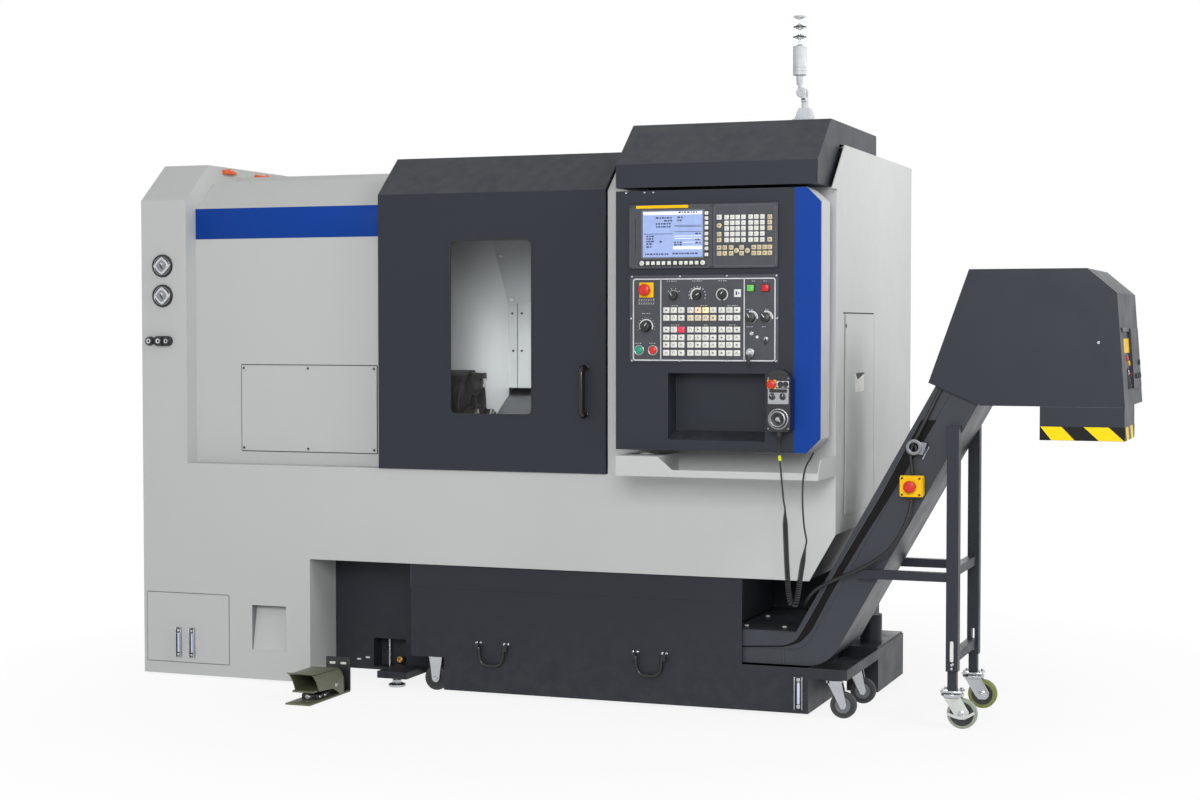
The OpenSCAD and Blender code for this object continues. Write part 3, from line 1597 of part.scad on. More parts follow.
module pendant_wheel() {
    wx = pendant_x + pendant_w / 2;
    y = pendant_y - pendant_t - 2 * wheel_gap;
    color(steel) {
        rod_y(wx, pendant_wheel_z, wheel_r, y - wheel_h, y);
        rod_y(wx, pendant_wheel_z, stem_r, y - wheel_h, pendant_y - pendant_t + stem_hole - play);
        rod_y(wx + crank_at, pendant_wheel_z, crank_r, y - wheel_h - crank_h, y - wheel_h);
    }
}

module pendant_cord() {
    color(black) {
        tube(cord_down, cord_r, cord_sides);
        tube(cord_up, cord_r, cord_sides);
    }
}

module pendant_coil() {
    color(black) tube(coil_points, coil_r, cord_sides);
}

module conveyor_cable() {
    color(black) {
        tube(cable_top, cable_r, cord_sides);
        tube(cable_low, cable_r, cord_sides);
    }
}

// Chuck, jaws, carriage, turret and tailstock
module around_spindle(a) {
    translate([0, spindle_y, spindle_z]) rotate([a, 0, 0]) children();
}

module chuck() {
    color(steel) difference() {
        union() {
            rod_x(spindle_y, spindle_z, spindle_r, spindle_back, chuck_x);
            rod_x(spindle_y, spindle_z, flange_r, chuck_x, chuck_x0);
            translate([chuck_x0, spindle_y, spindle_z]) rotate([0, 90, 0]) rotate_extrude()
                polygon([[0, 0], [chuck_r, 0], [chuck_r, chuck_len - chuck_edge],
                         [chuck_r - chuck_edge, chuck_len], [0, chuck_len]]);
            for (a = jaw_angles)
                around_spindle(a + 180 / len(jaw_angles))
                    rod_x(bolt_ring_r, 0, bolt_r, chuck_x1, chuck_x1 + bolt_h);
        }
        rod_x(spindle_y, spindle_z, bore_r, spindle_back - over, chuck_x1 + over);
        for (a = jaw_angles)
            around_spindle(a)
                slab(chuck_x1 - jaw_seat - play, chuck_x1 + over, bore_r + jaw_slot_wall, chuck_r + over,
                     -jaw_w / 2 - play, jaw_w / 2 + play);
    }
}

module jaw(k) {
    x0 = chuck_x1 - jaw_seat;
    color(cast) around_spindle(jaw_angles[k]) {
        slab(x0, x0 + jaw_seat + jaw_base, jaw_in, jaw_out, -jaw_w / 2, jaw_w / 2);
        slab(x0, x0 + jaw_seat + jaw_base + jaw_top, jaw_step, jaw_out, -jaw_w / 2, jaw_w / 2);
    }
}

module jaw_1() {
    jaw(0);
}

module jaw_2() {
    jaw(1);
}

module jaw_3() {
    jaw(2);
}

module carriage() {
    n0 = slide_gap;
    n1 = way_h + carriage_h;
    s0 = way_front_y - way_w / 2 - carriage_over;
    s1 = way_rear_y + way_w / 2 + carriage_over;
    color(cast) on_bed() difference() {
        slab(carriage_x, carriage_x + carriage_len, s0, s1, way_h / 2, n1);
        for (s = [way_front_y, way_rear_y])
            slab(carriage_x - over, carriage_x + carriage_len + over, s - way_w / 2 - slide_gap,
                 s + way_w / 2 + slide_gap, 0, way_h + n0);
        slab(carriage_x + (carriage_len - cross_w) / 2, carriage_x + (carriage_len + cross_w) / 2,
             s0 - over, s1 + over, n1 - way_h, n1 + over);
    }
}

module cross_slide() {
    n0 = carriage_h + slide_gap;
    s0 = turret_s - head_s;
    n1 = n0 + cross_h;
    x0 = carriage_x + (carriage_len - cross_w) / 2 + slide_gap;
    x1 = carriage_x + (carriage_len + cross_w) / 2 - slide_gap;
    color(cast) on_bed() difference() {
        union() {
            slab(x0, x1, cross_s, cross_s + cross_len, n0, n1);
            slab(turret_head_x, turret_head_x + head_len, s0, s0 + head_span, n1, axis_h + head_s);
        }
        rod_x(turret_s, axis_h, turret_shaft_r + fit, turret_head_x - over, turret_head_x + head_len / 2);
    }
}

module turret_disc() {
    x1 = turret_head_x - turret_gap;
    x0 = x1 - turret_w;
    color(steel) on_bed() {
        difference() {
            translate([x0, turret_s, axis_h]) rotate([0, 90, 0]) rotate([0, 0, 180 / turret_sides])
                cylinder(r = turret_r / cos(180 / turret_sides), h = turret_w, $fn = turret_sides);
            for (k = [0:turret_sides - 1])
                translate([0, turret_s, axis_h]) rotate([k * 360 / turret_sides, 0, 0])
                    slab(x0 + station_in, x0 + station_in + station_seat, turret_r - station_d,
                         turret_r + over, -station_w / 2, station_w / 2);
        }
        rod_x(turret_s, axis_h, turret_hub_r, x0 - turret_hub_h, x0);
        rod_x(turret_s, axis_h, turret_shaft_r, x1, turret_head_x + head_len / 2 - play);
    }
}

module tailstock() {
    n0 = way_h + slide_gap;
    s0 = way_front_y - way_w / 2 - carriage_over / 2;
    color(cast) on_bed() {
        difference() {
            slab(tail_x, tail_x + tail_len, s0, tail_w / 2, way_h / 2, axis_h - tail_head_r / 2);
            slab(tail_x - over, tail_x + tail_len + over, way_front_y - way_w / 2 - slide_gap,
                 way_front_y + way_w / 2 + slide_gap, 0, n0);
        }
        rod_x(0, axis_h, tail_head_r, tail_x, tail_x + tail_len);
        rod_x(0, axis_h, quill_r, tail_x - quill_len, tail_x);
        translate([tail_x - quill_len, 0, axis_h]) rotate([0, -90, 0])
            cylinder(r1 = centre_r, r2 = 0, h = centre_len);
    }
}

// Draw every sub-part in the shared frame
placed() base_casting();
placed() levelling_feet();
placed() slant_bed();
placed() headstock();
placed() front_cover();
placed() fixed_front_panel();
placed() access_plate();
placed() rear_cover();
placed() right_cover();
placed() side_door();
placed() chamber_lining();
placed() console_hood();
placed() console_tray();
placed() signal_tower_base();
placed() signal_tower_head();
placed() gauges();
placed() coolant_tank();
placed() tank_handle_left();
placed() tank_handle_right();
placed() tank_wheel_left();
placed() tank_caster_front_fork();
placed() tank_caster_front_wheel();
placed() tank_caster_rear_fork();
placed() tank_caster_rear_wheel();
placed() conveyor_trough();
placed() conveyor_hood();
placed() conveyor_stand();
placed() conveyor_belt();
placed() stand_caster_front_fork();
placed() stand_caster_front_wheel();
placed() stand_caster_rear_fork();
placed() stand_caster_rear_wheel();
placed() estop_box();
placed() estop_box_button();
placed() conveyor_cable();
placed() foot_switch();
placed() foot_pedal();
placed() door_panel();
placed() door_window();
placed() door_handle();
placed() console_housing();
placed() blue_side_panel();
placed() control_unit();
placed() operator_panel();
placed() estop_button();
placed() cycle_start_button();
placed() feed_hold_button();
placed() feed_override_knob();
placed() pendant_body();
placed() pendant_wheel();
placed() pendant_cord();
placed() pendant_coil();
placed() chuck();
placed() jaw_1();
placed() jaw_2();
placed() jaw_3();
placed() carriage();
placed() cross_slide();
placed() turret_disc();
placed() tailstock();
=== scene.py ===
# %% [markdown]
# A turning lathe with its chip conveyor, dressed for pictures.
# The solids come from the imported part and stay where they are. This lesson gives them
# their finishes and adds what a solid cannot show: keys, dials, cords, screws and light.
# All places below are in the machine's own millimetres, from its left end, its pale front
# and the floor, and one helper turns them into the shared frame in metres.

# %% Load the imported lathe
import json
import math
import bmesh
import bpy
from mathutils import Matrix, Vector


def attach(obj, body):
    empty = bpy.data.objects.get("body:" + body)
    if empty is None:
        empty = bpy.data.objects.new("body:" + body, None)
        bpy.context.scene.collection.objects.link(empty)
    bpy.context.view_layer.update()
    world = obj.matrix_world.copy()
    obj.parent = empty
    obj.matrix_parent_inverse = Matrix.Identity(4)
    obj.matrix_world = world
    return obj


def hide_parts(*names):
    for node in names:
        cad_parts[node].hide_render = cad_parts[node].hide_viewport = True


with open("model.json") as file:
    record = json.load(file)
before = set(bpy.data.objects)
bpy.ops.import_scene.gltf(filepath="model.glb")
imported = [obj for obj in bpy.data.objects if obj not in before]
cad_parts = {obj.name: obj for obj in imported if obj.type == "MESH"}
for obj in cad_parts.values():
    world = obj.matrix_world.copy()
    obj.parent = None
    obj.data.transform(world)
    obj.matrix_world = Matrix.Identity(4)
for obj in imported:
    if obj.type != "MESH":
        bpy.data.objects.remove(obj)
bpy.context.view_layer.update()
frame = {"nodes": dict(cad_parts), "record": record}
nodes = frame["nodes"]
scene = bpy.context.scene
scene.view_settings.view_transform = "Standard"
ORIGIN = Vector((1839.222, 423.5, 0.0))


def place(x, y, z):
    """A point in the machine's millimetres, in the shared frame in metres."""
    return (Vector((x, y, z)) - ORIGIN) / 1000


# %% [markdown]
# The camera stands to the right of the machine, a little above the middle of its height.
# Its place and lens were worked out from the vanishing points of the long edges, so
# a straight box in the model lies on the same lines as in the picture.

# %% Camera
LENS = 61.4
CAMERA_AT = (2.5288, -7.1745, 1.334)
TURN, DIP = math.radians(20.3), math.radians(2.04)
view = bpy.data.cameras.new("view")
view.lens, view.sensor_width = LENS, 36.0
camera = bpy.data.objects.new("view", view)
camera.location = CAMERA_AT
aim = Vector((-math.sin(TURN) * math.cos(DIP), math.cos(TURN) * math.cos(DIP), -math.sin(DIP)))
camera.rotation_euler = aim.to_track_quat("-Z", "Y").to_euler()
scene.collection.objects.link(camera)
scene.camera = camera
print("camera", tuple(round(c, 3) for c in camera.location))

# %% [markdown]
# The pendant hangs on a curly cord: a straight lead, a spring of small turns that hangs
# in a narrow V, and a straight lead back up into the console. The spring could be a
# screw modifier on a circle, but a screw cannot follow a bent line. Here the turns are
# wound around the hanging line point by point, and open up where the line bends.

# %% Route helpers for the cords
def smooth_route(points, count):
    """Evenly spaced points on a smooth line through the given ones, in metres."""
    knots = [place(*p) for p in points]
    line = []
    for k in range(len(knots) - 1):
        before = knots[k - 1] if k else knots[k] * 2 - knots[k + 1]
        after = knots[k + 2] if k + 2 < len(knots) else knots[k + 1] * 2 - knots[k]
        for step in range(24):
            t = step / 24
            a, b, c, d = before, knots[k], knots[k + 1], after
            line.append(0.5 * (2 * b + (c - a) * t + (2 * a - 5 * b + 4 * c - d) * t ** 2
                               + (3 * b - a - 3 * c + d) * t ** 3))
    line.append(knots[-1])
    return even_points(line, count)


def even_points(line, count):
    """The same line with a given number of points, evenly spaced along it."""
    run = [0.0]
    for a, b in zip(line, line[1:]):
        run.append(run[-1] + (b - a).length)
    out, k = [], 0
    for i in range(count):
        want = run[-1] * i / (count - 1)
        while k < len(line) - 2 and run[k + 1] < want:
            k += 1
        span = max(run[k + 1] - run[k], 1e-9)
        out.append(line[k].lerp(line[k + 1], min(1.0, (want - run[k]) / span)))
    return out


def wound(line, radius, gap, per_turn=14):
    """Turns of a spring around a line, wider apart where the line bends."""
    heading = (line[1] - line[0]).normalized()
    side = heading.orthogonal().normalized()
    turned, out = 0.0, []
    last = len(line) - 1
    for i in range(last):
        ahead = (line[i + 1] - line[i]).normalized()
        side = (side - ahead * side.dot(ahead)).normalized()
        back = line[max(0, i - 12)]
        front = line[min(last, i + 12)]
        bend = (line[i] * 2 - back - front).length / max((front - back).length / 2, 1e-6) ** 2
        pitch = gap / max(0.3, 1 - radius * bend)
        ease = min(1.0, i / 60, (last - i) / 60)
        step = (line[i + 1] - line[i]).length
        parts = max(1, math.ceil(step / pitch * per_turn))
        for p in range(parts):
            turned += step / pitch * 2 * math.pi / parts
            other = ahead.cross(side)
            middle = line[i].lerp(line[i + 1], p / parts)
            out.append(middle + (side * math.cos(turned) + other * math.sin(turned)) * radius * ease)
    return out


def thinned(points, least):
    """Points no closer to each other than the least distance."""
    out = [points[0]]
    for p in points[1:-1]:
        if (p - out[-1]).length >= least:
            out.append(p)
    return out + [points[-1]]


def line_length(points):
    return sum((b - a).length for a, b in zip(points, points[1:]))


def cord_curve(name, points, thickness):
    """A round cord through the points, as a curve with one open spline.

    The points carry its radius: Blender widens a curve's box by that, so the box stays tight."""
    curve = bpy.data.curves.new(name, "CURVE")
    curve.dimensions = "3D"
    curve.bevel_depth = 1.0
    curve.bevel_resolution = 3
    curve.use_fill_caps = True
    spline = curve.splines.new("POLY")
    spline.points.add(len(points) - 1)
    for point, co in zip(spline.points, points):
        point.co = (*co, 1.0)
        point.radius = thickness / 2
    spline.use_smooth = True
    obj = bpy.data.objects.new(name, curve)
    scene.collection.objects.link(obj)
    return obj


print("route helpers ready")

# %% The pendant's curly cord
CORD_DOWN = [(2584, -224, 974), (2590, -250, 930), (2600, -268, 880), (2608, -276, 820),
             (2614, -280, 770), (2620, -282, 742)]
COIL = [(2620, -282, 742), (2621, -284, 700), (2624, -286, 640), (2628, -288, 560),
        (2634, -290, 480), (2640, -290, 442), (2650, -290, 424), (2661, -290, 438),
        (2668, -288, 480), (2678, -286, 550), (2690, -282, 622)]
CORD_UP = [(2690, -282, 622), (2692, -280, 640), (2684, -278, 680), (2678, -276, 740),
           (2676, -272, 800), (2677, -264, 846), (2680, -240, 880), (2684, -205, 900),
           (2686, -170, 917)]
CORD_THICK = 0.006
lead_down = smooth_route(CORD_DOWN, 30)
spring = wound(smooth_route(COIL, 640), 0.0066, 0.0074)
lead_up = smooth_route(CORD_UP, 40)
cord_points = thinned(lead_down + spring[1:] + lead_up, 0.0022)
pendant_cord = cord_curve("pendant_curly_cord", cord_points, CORD_THICK)
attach(pendant_cord, "console")
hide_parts("pendant_cord", "pendant_coil")
print("curly cord", len(cord_points), "points,", round(line_length(cord_points), 3), "m")

# %% The conveyor's cable
CABLE_TOP = [(3072, 24, 1131), (3050, 20, 1085), (3020, 12, 1020), (2985, 10, 950),
             (2975, 10, 924), (2974, 10, 890), (2978, 10, 860), (2980, 10, 838)]
CABLE_LOW = [(2978, 10, 769), (2972, 2, 715), (2950, -8, 655), (2908, -13, 590),
             (2850, -14, 545), (2790, -12, 512), (2720, -6, 480), (2660, 2, 448),
             (2625, 18, 415), (2606, 50, 385), (2596, 110, 360), (2588, 220, 342),
             (2582, 400, 338), (2580, 560, 340), (2580, 612, 340)]
CABLE_THICK = 0.012
cables = []
for name, route in (("conveyor_cable_top", CABLE_TOP), ("conveyor_cable_low", CABLE_LOW)):
    points = smooth_route(route, 40)
    cable = cord_curve(name, points, CABLE_THICK)
    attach(cable, "machine")
    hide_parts("conveyor_cable")
    cables.append(cable)
    print(name, round(line_length(points), 3), "m")

# %% [markdown]
# Light: a white studio. Soft boxes stand beside the camera, to the right, behind and overhead,
# a narrow one lights the right side, and a small lamp stands for the one in the chamber.
# The white of the room fills in. The room is plain white to the camera, to polished
# metal and to glass, and dimmer to the rest, so the paint shows its own colour.

# %% Room, floor and lamps
def light_path_white(tree):
    """One where the camera, a mirror or a pane looks at this surface, else nought."""
    path = tree.nodes.new("ShaderNodeLightPath")
    seen = path.outputs["Is Camera Ray"]
    for kind in ("Is Glossy Ray", "Is Transmission Ray"):
        most = tree.nodes.new("ShaderNodeMath")
        most.operation = "MAXIMUM"
        tree.links.new(seen, most.inputs[0])
        tree.links.new(path.outputs[kind], most.inputs[1])
        seen = most.outputs[0]
    return seen


room = bpy.data.worlds.new("white_room")
scene.world = room
room.use_nodes = True
tree = room.node_tree
tree.nodes.clear()
fill = tree.nodes.new("ShaderNodeBackground")
fill.inputs["Color"].default_value = (1.0, 1.0, 1.0, 1.0)
fill.inputs["Strength"].default_value = 0.36
white = tree.nodes.new("ShaderNodeBackground")
white.inputs["Color"].default_value = (1.0, 1.0, 1.0, 1.0)
white.inputs["Strength"].default_value = 1.0
choice = tree.nodes.new("ShaderNodeMixShader")
tree.links.new(light_path_white(tree), choice.inputs[0])
tree.links.new(fill.outputs[0], choice.inputs[1])
tree.links.new(white.outputs[0], choice.inputs[2])
tree.links.new(choice.outputs[0], tree.nodes.new("ShaderNodeOutputWorld").inputs[0])

ground = bmesh.new()
bmesh.ops.create_grid(ground, x_segments=8, y_segments=8, size=30.0)
floor_mesh = bpy.data.meshes.new("studio_floor")
ground.to_mesh(floor_mesh)
ground.free()
floor = bpy.data.objects.new("studio_floor", floor_mesh)
scene.collection.objects.link(floor)


def soft_box(name, where, towards, size, power):
    lamp = bpy.data.lights.new(name, "AREA")
    lamp.shape = "RECTANGLE"
    lamp.size, lamp.size_y = size
    lamp.energy = power
    obj = bpy.data.objects.new(name, lamp)
    obj.location = where
    obj.rotation_euler = (Vector(towards) - Vector(where)).to_track_quat("-Z", "Y").to_euler()
    scene.collection.objects.link(obj)
    return obj


soft_box("front_box", (2.4, -9.0, 3.6), (-0.2, 0, 1.0), (4.0, 3.0), 400)
soft_box("right_box", (4.4, -1.9, 4.4), (0.8, 0.2, 1.0), (2.0, 2.0), 80)
soft_box("side_box", (3.2, 1.2, 2.9), (0.9, 0.1, 1.9), (1.0, 1.0), 7).data.spread = math.radians(70)
soft_box("back_box", (-2.0, 7.5, 4.5), (0.0, 0.6, 1.0), (4.0, 3.0), 160)
soft_box("top_box", (0.0, -0.6, 6.0), (0, 0, 0), (6.0, 4.0), 14)
soft_box("work_lamp", tuple(place(1540, 800, 1210)), tuple(place(1104, 950, 1170)),
         (0.25, 0.25), 0.85).data.spread = math.radians(130)
print("room, floor and lamps made")

# %% [markdown]
# Finishes. The covers are powder coated: a satin film with a faint orange skin and slow
# changes of tone. Several paints share that skin, so it is a node group with its own
# inputs. A second group finds the edges by comparing the true normal with one that is
# rounded off, for a painted highlight on them, and a third settles a little dust on what
# faces up and near the floor.

# %% Shader group helpers
def srgb(r, g, b):
    """A screen colour of 0 to 255 as the linear colour that shaders use."""
    def one(v):
        v = v / 255
        return v / 12.92 if v <= 0.04045 else ((v + 0.055) / 1.055) ** 2.4
    return (one(r), one(g), one(b), 1.0)


def start_group(name, inputs, outputs):
    """A new shader node group with its named inputs and outputs."""
    group = bpy.data.node_groups.new(name, "ShaderNodeTree")
    for label, kind, value in inputs:
        socket = group.interface.new_socket(label, in_out="INPUT", socket_type=kind)
        socket.default_value = value
    for label, kind in outputs:
        group.interface.new_socket(label, in_out="OUTPUT", socket_type=kind)
    return group, group.nodes.new("NodeGroupInput"), group.nodes.new("NodeGroupOutput")


def noise_field(tree, scale, detail, coords=None):
    """A noise over the piece's own coordinates in metres."""
    field = tree.nodes.new("ShaderNodeTexNoise")
    field.inputs["Scale"].default_value = scale
    field.inputs["Detail"].default_value = detail
    if coords is None:
        coords = tree.nodes.new("ShaderNodeTexCoord").outputs["Object"]
    tree.links.new(coords, field.inputs["Vector"])
    return field


def remap(tree, value, low, high, to_low, to_high):
    """A value moved from one range to another, held at the ends."""
    node = tree.nodes.new("ShaderNodeMapRange")
    for label, number in (("From Min", low), ("From Max", high)):
        node.inputs[label].default_value = number
    for label, number in (("To Min", to_low), ("To Max", to_high)):
        if isinstance(number, (int, float)):
            node.inputs[label].default_value = number
        else:
            tree.links.new(number, node.inputs[label])
    tree.links.new(value, node.inputs["Value"])
    return node.outputs["Result"]


def maths(tree, operation, a, b=0.0):
    node = tree.nodes.new("ShaderNodeMath")
    node.operation = operation
    for socket, value in zip(node.inputs, (a, b)):
        if isinstance(value, (int, float)):
            socket.default_value = value
        else:
            tree.links.new(value, socket)
    return node.outputs[0]


FLOAT, COLOUR, VECTOR = "NodeSocketFloat", "NodeSocketColor", "NodeSocketVector"
print("group helpers ready")

# %% Group: the skin of a powder coat
coat_skin, ins, outs = start_group(
    "coat_skin",
    [("Color", COLOUR, (0.5, 0.5, 0.5, 1)), ("Variation", FLOAT, 0.03),
     ("Roughness", FLOAT, 0.4)],
    [("Color", COLOUR), ("Roughness", FLOAT), ("Height", FLOAT)])
slow = noise_field(coat_skin, 1.7, 3.0)
quick = noise_field(coat_skin, 620.0, 2.0)
patch = noise_field(coat_skin, 9.0, 4.0)
swing = maths(coat_skin, "MULTIPLY", maths(coat_skin, "SUBTRACT", slow.outputs["Fac"], 0.5),
              ins.outputs["Variation"])
tone = coat_skin.nodes.new("ShaderNodeHueSaturation")
coat_skin.links.new(maths(coat_skin, "ADD", maths(coat_skin, "MULTIPLY", swing, 4.0), 1.0),
                    tone.inputs["Value"])
coat_skin.links.new(ins.outputs["Color"], tone.inputs["Color"])
coat_skin.links.new(tone.outputs["Color"], outs.inputs["Color"])
shift = remap(coat_skin, patch.outputs["Fac"], 0.3, 0.7, -0.06, 0.06)
coat_skin.links.new(maths(coat_skin, "ADD", shift, ins.outputs["Roughness"]),
                    outs.inputs["Roughness"])
coat_skin.links.new(quick.outputs["Fac"], outs.inputs["Height"])
print("group", coat_skin.name)

# %% Group: rounded edges and the light that catches them
soft_edge, ins, outs = start_group(
    "soft_edge", [("Rubbed", FLOAT, 0.3)], [("Mask", FLOAT), ("Normal", VECTOR)])
rounded = soft_edge.nodes.new("ShaderNodeBevel")
rounded.samples = 4
rounded.inputs["Radius"].default_value = 0.0025
flat = soft_edge.nodes.new("ShaderNodeNewGeometry")
same = soft_edge.nodes.new("ShaderNodeVectorMath")
same.operation = "DOT_PRODUCT"
soft_edge.links.new(rounded.outputs["Normal"], same.inputs[0])
soft_edge.links.new(flat.outputs["Normal"], same.inputs[1])
corner = remap(soft_edge, same.outputs["Value"], 0.99, 0.86, 0.0, 1.0)
highlight_noise = remap(soft_edge, noise_field(soft_edge, 38.0, 4.0).outputs["Fac"], 0.42, 0.62, 0.25, 1.0)
# the mask is a painted highlight on the edges, made patchy by a noise
mask = maths(soft_edge, "MULTIPLY", maths(soft_edge, "MULTIPLY", corner, highlight_noise),
             ins.outputs["Rubbed"])
soft_edge.links.new(mask, outs.inputs["Mask"])
soft_edge.links.new(rounded.outputs["Normal"], outs.inputs["Normal"])
print("group", soft_edge.name)

# %% Group: dust that settles
settled_dust, ins, outs = start_group(
    "settled_dust", [("Amount", FLOAT, 0.2)], [("Mask", FLOAT)])
face = settled_dust.nodes.new("ShaderNodeNewGeometry")
split = settled_dust.nodes.new("ShaderNodeSeparateXYZ")
settled_dust.links.new(face.outputs["Normal"], split.inputs[0])
up = remap(settled_dust, split.outputs["Z"], 0.4, 1.0, 0.0, 1.0)
spot = settled_dust.nodes.new("ShaderNodeSeparateXYZ")
settled_dust.links.new(settled_dust.nodes.new("ShaderNodeTexCoord").outputs["Object"],
                       spot.inputs[0])
low = remap(settled_dust, spot.outputs["Z"], 0.02, 0.34, 0.55, 0.0)
flakes = remap(settled_dust, noise_field(settled_dust, 26.0, 6.0).outputs["Fac"],
               0.38, 0.68, 0.1, 1.0)
reach = maths(settled_dust, "MAXIMUM", up, low)
settled_dust.links.new(
    maths(settled_dust, "MULTIPLY", maths(settled_dust, "MULTIPLY", reach, flakes),
          ins.outputs["Amount"]), outs.inputs["Mask"])
print("shader groups", [g.name for g in bpy.data.node_groups])

# %% [markdown]
# A paint is the skin group with its own colour, roughness and depth. The edges take
# a little of a lighter tone, a painted highlight where they catch the light, and
# the dust lies over both. The same steps in the same order give every painted cover.

# %% Painted finishes
def new_finish(name):
    finish = bpy.data.materials.new(name)
    finish.use_nodes = True
    return finish, finish.node_tree, finish.node_tree.nodes["Principled BSDF"]


def use_group(tree, group, **values):
    node = tree.nodes.new("ShaderNodeGroup")
    node.node_tree = group
    for label, value in values.items():
        node.inputs[label.replace("_", " ")].default_value = value
    return node


def mixed(tree, mask, a, b):
    """Colour a, with colour b where the mask is one."""
    node = tree.nodes.new("ShaderNodeMix")
    node.data_type = "RGBA"
    tree.links.new(mask, node.inputs["Factor"])
    for socket, value in ((node.inputs[6], a), (node.inputs[7], b)):
        if isinstance(value, tuple):
            socket.default_value = value
        else:
            tree.links.new(value, socket)
    return node.outputs[2]


def bumped(tree, shader, height, normal=None, strength=0.2, depth=0.0006):
    bump = tree.nodes.new("ShaderNodeBump")
    bump.inputs["Strength"].default_value = strength
    bump.inputs["Distance"].default_value = depth
    tree.links.new(height, bump.inputs["Height"])
    if normal is not None:
        tree.links.new(normal, bump.inputs["Normal"])
    tree.links.new(bump.outputs["Normal"], shader.inputs["Normal"])


DUST = srgb(176, 172, 164)


def painted(name, colour, edge, rough=0.42, variation=0.03, highlight=0.35, dust=0.06, skin=0.2,
            shine=0.16):
    finish, tree, shader = new_finish(name)
    shader.inputs["Specular IOR Level"].default_value = shine
    coat = use_group(tree, coat_skin, Color=colour, Variation=variation, Roughness=rough)
    edges = use_group(tree, soft_edge, Rubbed=highlight)
    settled = use_group(tree, settled_dust, Amount=dust)
    # a lighter tone on the edges: painted highlight
    edge_lit = mixed(tree, edges.outputs["Mask"], coat.outputs["Color"], edge)
    dusty = mixed(tree, settled.outputs["Mask"], edge_lit, DUST)
    tree.links.new(dusty, shader.inputs["Base Color"])
    tree.links.new(coat.outputs["Roughness"], shader.inputs["Roughness"])
    bumped(tree, shader, coat.outputs["Height"], edges.outputs["Normal"], skin)
    return finish


# the second colour of each paint is the painted highlight on its edges
finishes = {
    "light_paint": painted("light_paint", srgb(196, 198, 197), srgb(226, 227, 226), 0.4, 0.012),
    "slate_paint": painted("slate_paint", srgb(47, 51, 58), srgb(104, 110, 119), 0.44, 0.02, 0.5,
                           shine=0.2),
    "dark_paint": painted("dark_paint", srgb(44, 47, 54), srgb(100, 105, 113), 0.44, 0.02, 0.5,
                          shine=0.2),
    "blue_paint": painted("blue_paint", srgb(8, 62, 150), srgb(46, 100, 188), 0.4, 0.02),
    "yellow_paint": painted("yellow_paint", srgb(250, 196, 14), srgb(255, 224, 90), 0.4, 0.02),
    "olive_paint": painted("olive_paint", srgb(98, 101, 78), srgb(164, 166, 138), 0.34, 0.05,
                           highlight=0.7, shine=0.5),
}
print("paints", sorted(finishes))

# %% [markdown]
# Metals, plastics and rubber. Bright steel is brushed: its fine lines are a noise that
# is stretched far along one way. Cast iron is oiled and a little mottled. The plastics are
# moulded with a fine spark texture, and rubber is rough, dark and slightly grey with use.

# %% Group: brushed lines and moulded speckle
brush_lines, ins, outs = start_group(
    "brush_lines", [("Roughness", FLOAT, 0.25), ("Spread", FLOAT, 0.1)],
    [("Roughness", FLOAT), ("Height", FLOAT)])
stretch = brush_lines.nodes.new("ShaderNodeMapping")
stretch.inputs["Scale"].default_value = (60.0, 60.0, 1600.0)
brush_lines.links.new(brush_lines.nodes.new("ShaderNodeTexCoord").outputs["Object"],
                      stretch.inputs["Vector"])
lines = noise_field(brush_lines, 1.0, 3.0, stretch.outputs["Vector"])
swing = maths(brush_lines, "MULTIPLY", maths(brush_lines, "SUBTRACT", lines.outputs["Fac"], 0.5),
              ins.outputs["Spread"])
brush_lines.links.new(maths(brush_lines, "ADD", maths(brush_lines, "MULTIPLY", swing, 3.0),
                            ins.outputs["Roughness"]), outs.inputs["Roughness"])
brush_lines.links.new(lines.outputs["Fac"], outs.inputs["Height"])

moulded_speckle, ins, outs = start_group(
    "moulded_speckle", [("Color", COLOUR, (0.1, 0.1, 0.1, 1)), ("Roughness", FLOAT, 0.4)],
    [("Color", COLOUR), ("Roughness", FLOAT), ("Height", FLOAT)])
grain = noise_field(moulded_speckle, 900.0, 2.0)
cloud = noise_field(moulded_speckle, 34.0, 3.0)
tone = moulded_speckle.nodes.new("ShaderNodeHueSaturation")
moulded_speckle.links.new(ins.outputs["Color"], tone.inputs["Color"])
moulded_speckle.links.new(remap(moulded_speckle, cloud.outputs["Fac"], 0.3, 0.7, 0.93, 1.07),
                          tone.inputs["Value"])
moulded_speckle.links.new(tone.outputs["Color"], outs.inputs["Color"])
shift = remap(moulded_speckle, cloud.outputs["Fac"], 0.3, 0.7, 0.05, -0.05)
moulded_speckle.links.new(maths(moulded_speckle, "ADD", shift, ins.outputs["Roughness"]),
                          outs.inputs["Roughness"])
moulded_speckle.links.new(grain.outputs["Fac"], outs.inputs["Height"])
print("groups", brush_lines.name, moulded_speckle.name)

# %% Metal, plastic, rubber and glass finishes
def metal(name, colour, edge, rough, spread, highlight=0.4):
    finish, tree, shader = new_finish(name)
    brushed = use_group(tree, brush_lines, Roughness=rough, Spread=spread)
    edges = use_group(tree, soft_edge, Rubbed=highlight)
    mottle = remap(tree, noise_field(tree, 22.0, 5.0).outputs["Fac"], 0.35, 0.7, 0.0, 0.35)
    dull = mixed(tree, mottle, colour, tuple(c * 0.72 for c in colour[:3]) + (1.0,))
    # a lighter tone on the edges: painted highlight
    tree.links.new(mixed(tree, edges.outputs["Mask"], dull, edge), shader.inputs["Base Color"])
    tree.links.new(brushed.outputs["Roughness"], shader.inputs["Roughness"])
    shader.inputs["Metallic"].default_value = 1.0
    bumped(tree, shader, brushed.outputs["Height"], edges.outputs["Normal"], 0.08, 0.0003)
    return finish


